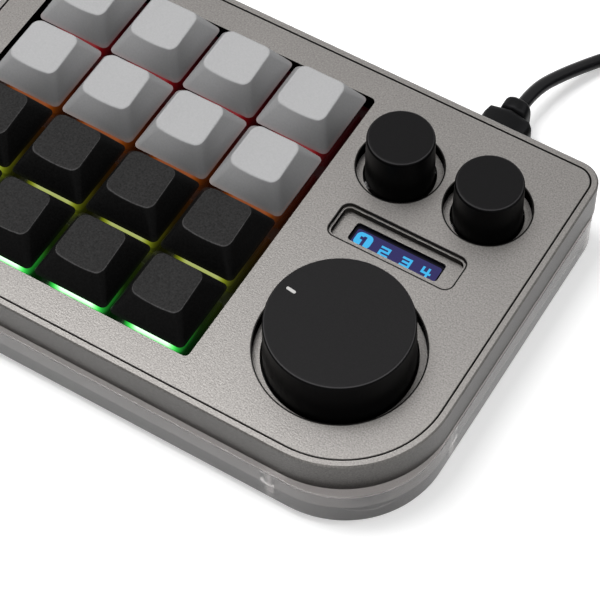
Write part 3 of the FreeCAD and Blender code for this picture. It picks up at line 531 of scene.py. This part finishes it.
def makeFinish(name, look):
    material, tree, shader, place = newMaterial(name + "Finish", look.get("sockets", {}))
    surface = useGroup(tree, fineGrain, {
        "Vector": place, "Color": (*look["colour"], 1), "Grains": look["grains"], "Tint": look["tint"],
        "Roughness": look["roughness"], "Wander": usualWander,
    })
    colour = shadedColour(tree, place, look, surface.outputs["Color"])
    tree.links.new(colour, shader.inputs["Base Color"])
    tree.links.new(surface.outputs["Roughness"], shader.inputs["Roughness"])
    if look["bump"]:
        relief = addNode(tree, "ShaderNodeBump", {
            "Strength": look["bump"], "Distance": grainDepth, "Height": surface.outputs["Height"],
        })
        tree.links.new(relief.outputs["Normal"], shader.inputs["Normal"])
    # the diodes' light, painted as a glow on this part
    if "haze" in look:
        tree.links.new(rowLight(tree, place, look), shader.inputs["Emission Color"])
        shader.inputs["Emission Strength"].default_value = 1.0
    if "skirt" in look:
        tree.links.new(litSkirt(tree, place, look["skirt"]), shader.inputs["Emission Color"])
        shader.inputs["Emission Strength"].default_value = 1.0
    return material


def litPanel(name, colour, dim):
    # a part of the display that shines by itself
    material, tree, shader, place = newMaterial(name, {
        "Base Color": (0.004, 0.004, 0.010, 1), "Roughness": 0.12, "Specular IOR Level": 0.08,
        "Emission Strength": 1.0,
    })
    grid = useGroup(tree, pixelGrid, {"Vector": place, "Color": (*colour, 1), "Dim": dim})
    tree.links.new(grid.outputs["Color"], shader.inputs["Emission Color"])
    return material


materials = {name: makeFinish(name, look) for name, look in finishLooks.items()}
materials["panel"] = litPanel("displayPanel", (0.034, 0.030, 0.125), 0.25)
materials["digit"] = litPanel("displayDigit", (0.060, 0.500, 0.900), 0.12)
print("materials made")


# cord: out of the plug, down to the desk and into the put-away coil
cord = {
    "radius": 1.6 * mm,
    "route": [
        (0.0413, 0.063135, 0.00722), (0.0413, 0.0696, 0.0071), (0.0442, 0.0786, 0.0049),
        (0.0495, 0.0895, 0.0022), (0.0575, 0.1000, 0.0016), (0.0690, 0.1065, 0.0016),
        (0.0848, 0.1065, 0.0016),
    ],
    "coilCenter": (0.0880, 0.0839),
    "coilRadius": 0.0226,
    "pitch": 0.0037,
    "layers": 4,
    "turnsPerLayer": 2.5,
    "climbTurns": 0.5,
    "climbBulge": 0.25,
    "wrapTurns": 0.75,
    "wrapStep": 1.6,
    "wrapSwing": 1 / 3,
    "wrapHeight": 0.0041,
    "pointsPerTurn": 16,
    "lead": 0.0032,
    "length": 1.49,
    "bevelSteps": 5,
    "pathSteps": 6,
}


def smooth(share):
    return share * share * (3 - 2 * share)


def coilPoint(turns):
    span = cord["turnsPerLayer"] + cord["climbTurns"]
    layersSpan = cord["layers"] * span - cord["climbTurns"]
    layer = min(int(turns / span), cord["layers"] - 1)
    along = turns - layer * span
    inner = cord["coilRadius"] - cord["turnsPerLayer"] * cord["pitch"]
    goingIn = layer % 2 == 0
    height = cord["radius"] + layer * cord["pitch"]
    if turns > layersSpan:
        share = (turns - layersSpan) / cord["wrapTurns"]
        swing = smooth(min(1.0, share / cord["wrapSwing"]))
        radius = cord["coilRadius"] + cord["wrapStep"] * cord["pitch"] * swing
        fall = max(0.0, (share - cord["wrapSwing"]) / (1 - cord["wrapSwing"]))
        height += (cord["wrapHeight"] - height) * smooth(fall)
    elif along <= cord["turnsPerLayer"]:
        drift = along * cord["pitch"]
        radius = cord["coilRadius"] - drift if goingIn else inner + drift
    else:
        climb = (along - cord["turnsPerLayer"]) / cord["climbTurns"]
        bulge = cord["pitch"] * cord["climbBulge"] * (1 - abs(2 * climb - 1))
        radius = inner - bulge if goingIn else cord["coilRadius"] + bulge
        height += cord["pitch"] * smooth(climb)
    radius /= math.cos(math.pi / cord["pointsPerTurn"])  # control points stand outside the line they draw
    angle = math.pi / 2 - 2 * math.pi * turns
    middle = cord["coilCenter"]
    return (middle[0] + radius * math.cos(angle), middle[1] + radius * math.sin(angle), height)


def makeCord():
    perLayer = cord["turnsPerLayer"] + cord["climbTurns"]
    span = cord["layers"] * perLayer - cord["climbTurns"] + cord["wrapTurns"]
    steps = round(span * cord["pointsPerTurn"])
    points = list(cord["route"])
    points += [coilPoint(span * n / steps) for n in range(1, steps + 1)]
    last = Vector(points[-1])
    last.x = cord["coilCenter"][0] + cord["coilRadius"] + cord["wrapStep"] * cord["pitch"]
    points[-1] = tuple(last)
    points.append((last.x, last.y - cord["lead"], last.z))
    curve = bpy.data.curves.new("deskCord", "CURVE")
    curve.dimensions = "3D"
    curve.bevel_depth = cord["radius"]
    curve.bevel_resolution = cord["bevelSteps"]
    curve.resolution_u = cord["pathSteps"]
    curve.use_fill_caps = True
    spline = curve.splines.new("NURBS")
    spline.points.add(len(points) - 1)
    for point, place in zip(spline.points, points):
        point.co = (*place, 1)
    spline.order_u = 3
    spline.use_endpoint_u = True
    return addObject("deskCord", curve)


# plugs, in millimetres: moulded grips grown ring by ring along the cord, as y, width, height, squareness
deskPlug = {
    "centre": (41.3, 7.22),
    "mouth": [(38.6, 8.3, 2.5, 4), (45.0, 8.3, 2.5, 4)],
    "grip": [
        (44.6, 10.0, 5.8, 5), (45.1, 10.7, 6.3, 5), (48.0, 10.8, 6.4, 5), (48.1, 10.8, 9.8, 3.6),
        (48.4, 11.5, 10.5, 3.4), (49.4, 11.8, 10.7, 3.4), (52.8, 11.8, 10.7, 3.4), (57.1, 11.8, 10.7, 3.4),
        (57.8, 11.6, 10.6, 3.4), (58.3, 11.2, 10.3, 3.4), (58.65, 10.6, 9.8, 3.4), (58.85, 9.9, 9.1, 3.4),
        (58.94, 9.2, 8.4, 3.6), (58.95, 6.3, 8.2, 3.0), (59.2, 6.0, 8.9, 3.2), (59.6, 6.4, 9.4, 3.4),
        (60.2, 6.6, 9.6, 3.4), (61.9, 6.6, 9.6, 3.4), (62.4, 6.4, 9.3, 3.2), (62.8, 5.9, 8.7, 3.0),
        (63.0, 5.2, 7.8, 2.8), (63.13, 4.0, 5.6, 2.4),
    ],
}
farPlug = {
    "centre": (116.52, 4.1),
    "shellFront": 30.1, "shellBack": 48.7, "shellSize": (12.0, 4.5), "wall": 0.35, "tongueTop": 0.1,
    "edge": 0.25, "edgeSteps": 3, "depthShare": 0.6,
    "tongueSide": 0.385, "tongueStart": 0.8, "tongueEnd": 4.0,
    "slot": (2.2, 2.0, 0.03), "slotCorner": 0.3, "slotPlace": 34.6, "slotSide": 2.9, "slotRaise": 0.005,
    "grip": [
        (48.5, 12.4, 6.2, 5), (48.8, 13.8, 7.4, 5), (49.6, 14.6, 8.2, 5), (53.4, 14.6, 8.2, 5),
        (56.5, 13.6, 7.8, 4.6), (60.5, 13.4, 7.8, 4.4), (64.5, 14.0, 8.0, 4.4),
        (67.5, 13.6, 7.8, 4), (69.6, 11.6, 7.4, 3.4),
        (70.7, 9.0, 6.8, 2.8), (71.6, 6.4, 6.0, 2.2), (73.6, 5.6, 5.4, 2), (76.6, 5.0, 4.9, 2),
        (79.4, 4.5, 4.4, 2), (80.7, 4.1, 4.1, 2),
    ],
}


def shapeRing(ring, centre, width, height, squareness):
    # pushes a ring's points out to a rounded oblong
    for vert in ring:
        angle = math.atan2(vert.co.z - centre[1], vert.co.x - centre[0])
        across, up = math.cos(angle), math.sin(angle)
        reach = (abs(across) ** squareness + abs(up) ** squareness) ** (-1 / squareness)
        vert.co.x = centre[0] + reach * across * width / 2
        vert.co.z = centre[1] + reach * up * height / 2


def ringBody(name, centre, rings, sharpAngle=50.0, segments=48):
    bm = bmesh.new()
    start = rings[0][0]
    middle = [v * mm for v in centre]
    turned = Matrix.Translation((middle[0], start * mm, middle[1])) @ Matrix.Rotation(math.pi / 2, 4, "X")
    ring = bmesh.ops.create_circle(bm, segments=segments, radius=mm, cap_ends=True, matrix=turned)["verts"]
    edges = bm.edges[:]
    for y, width, height, squareness in rings:
        if y > start:
            grown = bmesh.ops.extrude_edge_only(bm, edges=edges)["geom"]
            ring = [g for g in grown if isinstance(g, bmesh.types.BMVert)]
            edges = [g for g in grown if isinstance(g, bmesh.types.BMEdge)]
        for vert in ring:
            vert.co.y = y * mm
        shapeRing(ring, middle, width * mm, height * mm, squareness)
    bmesh.ops.contextual_create(bm, geom=edges)
    return finishMesh(bm, name, sharpAngle)


def makeDeskPlug():
    grip = ringBody("cordPlugGrip", deskPlug["centre"], deskPlug["grip"])
    give(grip, "chassis", materials["moulding"])
    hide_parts("usb_plug")
    mouth = ringBody("cordPlugMouth", deskPlug["centre"], deskPlug["mouth"])
    give(mouth, "chassis", materials["bright"])
    return [grip, mouth]


def lengthwiseEdges(bm):
    return [e for e in bm.edges if abs((e.verts[0].co - e.verts[1].co).normalized().y) > aligned]


def makeFarShell():
    # the metal mouth: a block hollowed from its front, its long edges rounded
    x, z = (v * mm for v in farPlug["centre"])
    front, back = farPlug["shellFront"] * mm, farPlug["shellBack"] * mm
    width, height = (v * mm for v in farPlug["shellSize"])
    bm = bmesh.new()
    boxBlock(bm, (x, (front + back) / 2, z), (width, back - front, height))
    mouth = [f for f in bm.faces if f.normal.y < -aligned]
    bmesh.ops.inset_region(bm, faces=mouth, thickness=farPlug["wall"] * mm, use_even_offset=True)
    deeper = bmesh.ops.extrude_face_region(bm, geom=mouth)["geom"]
    verts = [g for g in deeper if isinstance(g, bmesh.types.BMVert)]
    bmesh.ops.translate(bm, vec=(0, (back - front) * farPlug["depthShare"], 0), verts=verts)
    bmesh.ops.delete(bm, geom=mouth, context="FACES")
    long = [e for e in lengthwiseEdges(bm) if e.calc_face_angle_signed(0) > 0]
    bmesh.ops.bevel(bm, geom=long, offset=farPlug["edge"] * mm, segments=farPlug["edgeSteps"], profile=0.5,
                    affect="EDGES", material=-1)
    return give(finishMesh(bm, "farPlugShell"), "chassis", materials["bright"])


def makeFarTongue():
    x, z = (v * mm for v in farPlug["centre"])
    front, back = farPlug["shellFront"] * mm, farPlug["shellBack"] * mm
    width, height = (v * mm for v in farPlug["shellSize"])
    low = z - height / 2 + farPlug["wall"] * mm
    top = z + farPlug["tongueTop"] * mm
    side = 2 * farPlug["tongueSide"] * mm
    length = back - front - farPlug["tongueEnd"] * mm
    bm = bmesh.new()
    middle = (x, front + farPlug["tongueStart"] * mm + length / 2, (low + top) / 2)
    boxBlock(bm, middle, (width - side, length, top - low))
    return give(finishMesh(bm, "farPlugTongue"), "chassis", materials["moulding"])


def makeFarSlots():
    x, z = (v * mm for v in farPlug["centre"])
    width, depth, thickness = (v * mm for v in farPlug["slot"])
    level = z + farPlug["shellSize"][1] * mm / 2 + farPlug["slotRaise"] * mm
    bm = bmesh.new()
    for side in (-1, 1):
        place = (x + side * farPlug["slotSide"] * mm, farPlug["slotPlace"] * mm, level)
        boxBlock(bm, place, (width, depth, thickness), farPlug["slotCorner"] * mm)
    return give(finishMesh(bm, "farPlugSlots"), "chassis", materials["moulding"])


def makeFarPlug():
    grip = ringBody("farPlugGrip", farPlug["centre"], farPlug["grip"])
    give(grip, "chassis", materials["moulding"])
    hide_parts("computer_plug")
    return [grip, makeFarShell(), makeFarTongue(), makeFarSlots()]


tie = {"angle": -60.0, "reach": (11.2, 24.9), "top": 14.75, "width": 6.0, "corner": 2.2, "cornerSteps": 6,
       "thickness": 0.6}


def makeTie():
    # a soft strap round one side of the coil
    inner, outer = (r * mm for r in tie["reach"])
    top = tie["top"] * mm
    bm = bmesh.new()
    boxBlock(bm, ((inner + outer) / 2, 0, top / 2), (outer - inner, tie["width"] * mm, top))
    ends = [f for f in bm.faces if abs(f.normal.y) > aligned]
    bmesh.ops.delete(bm, geom=ends, context="FACES_ONLY")
    long = lengthwiseEdges(bm)
    bmesh.ops.bevel(bm, geom=long, offset=tie["corner"] * mm, segments=tie["cornerSteps"], profile=0.5,
                    affect="EDGES", material=-1)
    bmesh.ops.recalc_face_normals(bm, faces=bm.faces)
    bmesh.ops.solidify(bm, geom=bm.faces[:], thickness=tie["thickness"] * mm)
    turn = Matrix.Rotation(math.radians(tie["angle"]), 4, "Z")
    place = Matrix.Translation((*cord["coilCenter"], 0)) @ turn
    bmesh.ops.transform(bm, matrix=place, verts=bm.verts)
    return give(finishMesh(bm, "coilTie"), "chassis", materials["jacket"])


deskCord = give(makeCord(), "chassis", materials["jacket"])
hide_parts("usb_cord", "cord_coil")
cordPieces = makeDeskPlug() + makeFarPlug() + [makeTie()]
print("cord laid")


# keycaps: tapered shells with rounded corners and a dished, tilted top
cap = {
    "base": 18.2 * mm, "baseCorner": 1.3 * mm,
    "topWidth": 11.7 * mm, "topDepth": 11.0 * mm, "topCorner": 2.2 * mm,
    "height": 6.1 * mm, "backShift": 0.45 * mm, "dish": 0.5 * mm, "tilt": 3.0,
    "rim": 0.42 * mm, "wall": 1.4 * mm, "roof": 1.5 * mm, "postRadius": 2.7 * mm, "postLow": 1.1 * mm,
    "postRoot": 0.3 * mm, "postSides": 28, "roofShift": 0.8, "cuts": 5, "levels": 4, "cornerSteps": 6,
    "rimSteps": 4, "topLevel": 0.99, "wallFacing": 0.5,
    "blackRows": ("r1", "r2"),
}


def capTop(x, y):
    half = cap["topWidth"] / 2
    radius = (half ** 2 + cap["dish"] ** 2) / (2 * cap["dish"])
    bowl = radius - math.sqrt(radius ** 2 - x ** 2)
    rise = (y - cap["backShift"]) * math.tan(math.radians(cap["tilt"]))
    return cap["height"] - cap["dish"] + bowl + rise


def capSpot(value, halfSize, corner):
    # moves one coordinate of the square blank to where it is on a smaller, rounder outline
    inner = cap["base"] / 2 - cap["baseCorner"]
    flat = min(abs(value), inner) / inner * (halfSize - corner)
    bend = max(abs(value) - inner, 0.0) / cap["baseCorner"] * corner
    return math.copysign(flat + bend, value)


def capPlace(x, y, share):
    halfX = cap["base"] / 2 + (cap["topWidth"] - cap["base"]) / 2 * share
    halfY = cap["base"] / 2 + (cap["topDepth"] - cap["base"]) / 2 * share
    corner = cap["baseCorner"] + (cap["topCorner"] - cap["baseCorner"]) * share
    return capSpot(x, halfX, corner), capSpot(y, halfY, corner) + cap["backShift"] * share


def cutAcross(bm, place, normal):
    bmesh.ops.bisect_plane(bm, geom=bm.verts[:] + bm.edges[:] + bm.faces[:], plane_co=place, plane_no=normal)


def keycapMesh():
    bm = bmesh.new()
    boxBlock(bm, (0, 0, 0.5), (cap["base"], cap["base"], 1.0), cap["baseCorner"], cap["cornerSteps"])
    inner = cap["base"] / 2 - cap["baseCorner"]
    for n in range(-cap["cuts"] + 1, cap["cuts"]):
        offset = inner * n / cap["cuts"]
        cutAcross(bm, (offset, 0, 0), (1, 0, 0))
        cutAcross(bm, (0, offset, 0), (0, 1, 0))
    for n in range(1, cap["levels"]):
        cutAcross(bm, (0, 0, n / cap["levels"]), (0, 0, 1))
    bmesh.ops.recalc_face_normals(bm, faces=bm.faces)
    rim = [e for e in bm.edges if min(v.co.z for v in e.verts) > cap["topLevel"]
           and min(f.normal.z for f in e.link_faces) < cap["wallFacing"]]
    bottom = [f for f in bm.faces if f.normal.z < -aligned]
    for vert in bm.verts:
        x, y, share = vert.co
        height = capTop(*capPlace(x, y, 1.0)) * share
        vert.co = (*capPlace(x, y, height / cap["height"]), height)
    hollowCap(bm, bottom)
    bmesh.ops.bevel(bm, geom=rim, offset=cap["rim"], segments=cap["rimSteps"], profile=0.5,
                    affect="EDGES", material=-1)
    return bm


def hollowCap(bm, bottom):
    # the room under the cap and the post that holds the stem
    bmesh.ops.inset_region(bm, faces=bottom, thickness=cap["wall"], use_even_offset=True)
    raised = bmesh.ops.extrude_face_region(bm, geom=bottom)["geom"]
    bmesh.ops.delete(bm, geom=bottom, context="FACES")
    verts = [g for g in raised if isinstance(g, bmesh.types.BMVert)]
    roof = cap["height"] - cap["roof"]
    shrink = 1 - roof / cap["height"] * (1 - cap["topDepth"] / cap["base"])
    bmesh.ops.scale(bm, vec=(shrink, shrink, 1), verts=verts)
    bmesh.ops.translate(bm, vec=(0, cap["backShift"] * cap["roofShift"], roof), verts=verts)
    top = roof + cap["postRoot"]
    place = Matrix.Translation((0, 0, (cap["postLow"] + top) / 2))
    bmesh.ops.create_cone(bm, cap_ends=True, segments=cap["postSides"], radius1=cap["postRadius"],
                          radius2=cap["postRadius"], depth=top - cap["postLow"], matrix=place)


def makeKeycaps():
    for node in sorted(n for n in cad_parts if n.startswith("keycap_")):
        bm = keycapMesh()
        bmesh.ops.translate(bm, vec=(*middleOf(node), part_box(node)[0].z), verts=bm.verts)
        black = node.split("_")[1] in cap["blackRows"]
        piece = finishMesh(bm, "dished" + node.replace("_", "").capitalize())
        give(piece, node.replace("keycap", "key"), materials["blackCap" if black else "greyCap"])
        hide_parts(node)


makeKeycaps()
print("keycaps made")


# dial mark: paint in the groove near the dial's rim
mark = {"turn": 173.0, "length": 2.3 * mm, "width": 0.72 * mm, "inset": 2.05 * mm, "rimRadius": 15.7 * mm,
        "depth": 0.18 * mm, "endShare": 0.49, "endSteps": 6}


def makeDialMark():
    middle = (*middleOf("dial"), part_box("dial")[1].z - mark["depth"] / 2)
    reach = mark["rimRadius"] - mark["inset"] - mark["length"] / 2
    bm = bmesh.new()
    size = (mark["length"], mark["width"], mark["depth"])
    boxBlock(bm, (reach, 0, 0), size, mark["width"] * mark["endShare"], mark["endSteps"])
    bmesh.ops.rotate(bm, matrix=Matrix.Rotation(math.radians(mark["turn"]), 3, "Z"), verts=bm.verts)
    bmesh.ops.translate(bm, vec=middle, verts=bm.verts)
    give(finishMesh(bm, "dialMark"), "dial_grip", materials["markPaint"])


makeDialMark()
print("dial mark made")


# display: a lit panel behind its window, with four plain numbers, the first one dark on a lit tab
display = {
    "centre": (40.78 * mm, 7.83 * mm), "size": (20.5 * mm, 4.0 * mm),
    "corner": 0.55 * mm, "cornerSteps": 5, "thickness": 0.04 * mm, "top": 18.55 * mm,
    "digitSize": (2.35 * mm, 2.45 * mm), "digitLow": 0.22 * mm, "stroke": 0.52 * mm, "raise": 0.03 * mm,
    "digitPlaces": {"2": 7.70 * mm, "3": 12.95 * mm, "4": 17.85 * mm},
    "tabPlace": 2.35 * mm, "tabSize": (3.9 * mm, 3.55 * mm), "tabCorner": 1.15 * mm,
    "firstSize": (2.1 * mm, 2.7 * mm), "firstStroke": 0.74 * mm, "firstLow": 0.08 * mm,
    "strokes": {
        "1": [(0.6, 0.0, 0.6, 1.0), (0.1, 0.85, 0.6, 0.85)],
        "2": [(0, 1, 1, 1), (1, 0.5, 1, 1), (0, 0.5, 1, 0.5), (0, 0, 0, 0.5), (0, 0, 1, 0)],
        "3": [(0, 1, 1, 1), (1, 0, 1, 1), (0.15, 0.5, 1, 0.5), (0, 0, 1, 0)],
        "4": [(0, 0.4, 0, 1), (0, 0.4, 1, 0.4), (0.72, 0, 0.72, 1)],
    },
}


def digitStrokes(bm, digit, left, low, size, stroke, height):
    # a digit from straight strokes, each a share of its width and height
    spanX, spanY = size[0] - stroke, size[1] - stroke
    for x0, y0, x1, y1 in display["strokes"][digit]:
        x = left + stroke / 2 + (x0 + x1) / 2 * spanX
        y = low + stroke / 2 + (y0 + y1) / 2 * spanY
        strokeSize = (abs(x1 - x0) * spanX + stroke, abs(y1 - y0) * spanY + stroke, display["raise"])
        boxBlock(bm, (x, y, height), strokeSize)


def makePanel(level):
    x, y = display["centre"]
    bm = bmesh.new()
    size = (*display["size"], display["thickness"])
    boxBlock(bm, (x, y, level - display["thickness"] / 2), size, display["corner"], display["cornerSteps"])
    give(finishMesh(bm, "displayPanel"), "chassis", materials["panel"])


def makeDigits(left, front, height):
    bm = bmesh.new()
    for digit, place in display["digitPlaces"].items():
        digitStrokes(bm, digit, left + place - display["digitSize"][0] / 2, front + display["digitLow"],
                     display["digitSize"], display["stroke"], height)
    tabX, tabY = display["tabSize"]
    tabPlace = (left + display["tabPlace"], front + tabY / 2, height)
    size = (tabX, tabY, display["raise"])
    boxBlock(bm, tabPlace, size, display["tabCorner"], display["cornerSteps"])
    give(finishMesh(bm, "displayDigits"), "chassis", materials["digit"])


def makeFirstDigit(left, front, height):
    bm = bmesh.new()
    width = display["firstSize"][0]
    digitStrokes(bm, "1", left + display["tabPlace"] - width / 2, front + display["firstLow"],
                 display["firstSize"], display["firstStroke"], height)
    give(finishMesh(bm, "displayFirstDigit"), "chassis", materials["panel"])


def makeDisplay():
    x, y = display["centre"]
    left, front = x - display["size"][0] / 2, y - display["size"][1] / 2
    level = display["top"] + display["thickness"]
    makePanel(level)
    makeDigits(left, front, level + display["raise"] / 2)
    makeFirstDigit(left, front, level + display["raise"] * 1.5)


makeDisplay()
print("display made")


# CAD pieces whose shape is right get their finish
finishes = {
    "plateMetal": ["top_plate"],
    "frameMetal": ["outer_frame"],
    "tray": ["base_tray"],
    "plate": ["switch_plate"],
    "housing": ["switch_upper_housings"],
    "lowerHousing": ["switch_lower_housings"],
    "board": ["circuit_board"],
    "chip": ["controller_chip"],
    "diode": ["light_diodes"],
    "foot": ["rubber_feet"],
    "bright": ["usb_socket", "switch_springs", "encoder_bodies", "dial_shaft", "left_knob_shaft",
               "right_knob_shaft"],
    "screw": ["case_screws"],
    "knob": ["dial"],
    "smallKnob": ["left_knob", "right_knob"],
    "moulding": ["dial_rotor", "left_knob_rotor", "right_knob_rotor"],
    "glass": ["display_module"],
    "stem": [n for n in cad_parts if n.startswith("key_stem_")],
}
for finish, names in finishes.items():
    for name in names:
        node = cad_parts[name]
        node.data.materials.clear()
        node.data.materials.append(materials[finish])
print("finishes given")


# floor, lamps and world
floor = {"size": 3.0, "colour": (0.92, 0.92, 0.92), "grains": 900.0, "tint": 0.02, "roughness": 0.9,
         "lift": 0.42}


def makeFloor():
    bm = bmesh.new()
    bmesh.ops.create_grid(bm, x_segments=1, y_segments=1, size=floor["size"])
    mesh = bpy.data.meshes.new("floor")
    bm.to_mesh(mesh)
    bm.free()
    item = addObject("floor", mesh)
    material = makeFinish("floor", {**floor, "bump": 0.0, "sockets": {"Specular IOR Level": 0.1}})
    tree = material.node_tree
    shader = tree.nodes["Principled BSDF"]
    shader.inputs["Emission Color"].default_value = (1, 1, 1, 1)
    tree.links.new(calc(tree, "MULTIPLY", shownRays(tree), floor["lift"]), shader.inputs["Emission Strength"])
    item.data.materials.append(material)


def shownRays(tree):
    # rays by which the background is seen, straight or in metal and glass
    rays = addNode(tree, "ShaderNodeLightPath")
    seen = calc(tree, "MAXIMUM", rays.outputs["Is Camera Ray"], rays.outputs["Is Glossy Ray"])
    return calc(tree, "MAXIMUM", seen, rays.outputs["Is Transmission Ray"])


lamps = {
    "above": {"place": (-0.24, 0.00, 0.80), "size": 0.44, "power": 5.4},
    "front": {"place": (0.22, -0.62, 0.42), "size": 0.30, "power": 0.45},
    "right": {"place": (0.50, 0.04, 0.52), "size": 0.35, "power": 0.95},
}


def makeLamps():
    for name, lamp in lamps.items():
        data = bpy.data.lights.new(name, "AREA")
        data.shape = "SQUARE"
        data.size = lamp["size"]
        data.energy = lamp["power"]
        item = addObject(name, data)
        item.location = lamp["place"]
        item.rotation_euler = Vector(lamp["place"]).to_track_quat("Z", "Y").to_euler()


studio = {"shown": 1.0, "light": 0.16}


def makeWorld():
    world = bpy.data.worlds.new("studio")
    bpy.context.scene.world = world
    world.use_nodes = True
    tree = world.node_tree
    tree.nodes.clear()
    shown = addNode(tree, "ShaderNodeBackground", {"Color": (1, 1, 1, 1), "Strength": studio["shown"]})
    light = addNode(tree, "ShaderNodeBackground", {"Color": (1, 1, 1, 1), "Strength": studio["light"]})
    mix = addNode(tree, "ShaderNodeMixShader", {0: shownRays(tree), 1: light.outputs[0], 2: shown.outputs[0]})
    out = addNode(tree, "ShaderNodeOutputWorld")
    tree.links.new(mix.outputs[0], out.inputs["Surface"])


makeFloor()
makeLamps()
makeWorld()
bpy.context.scene.view_settings.view_transform = "Standard"
print("scene lit")
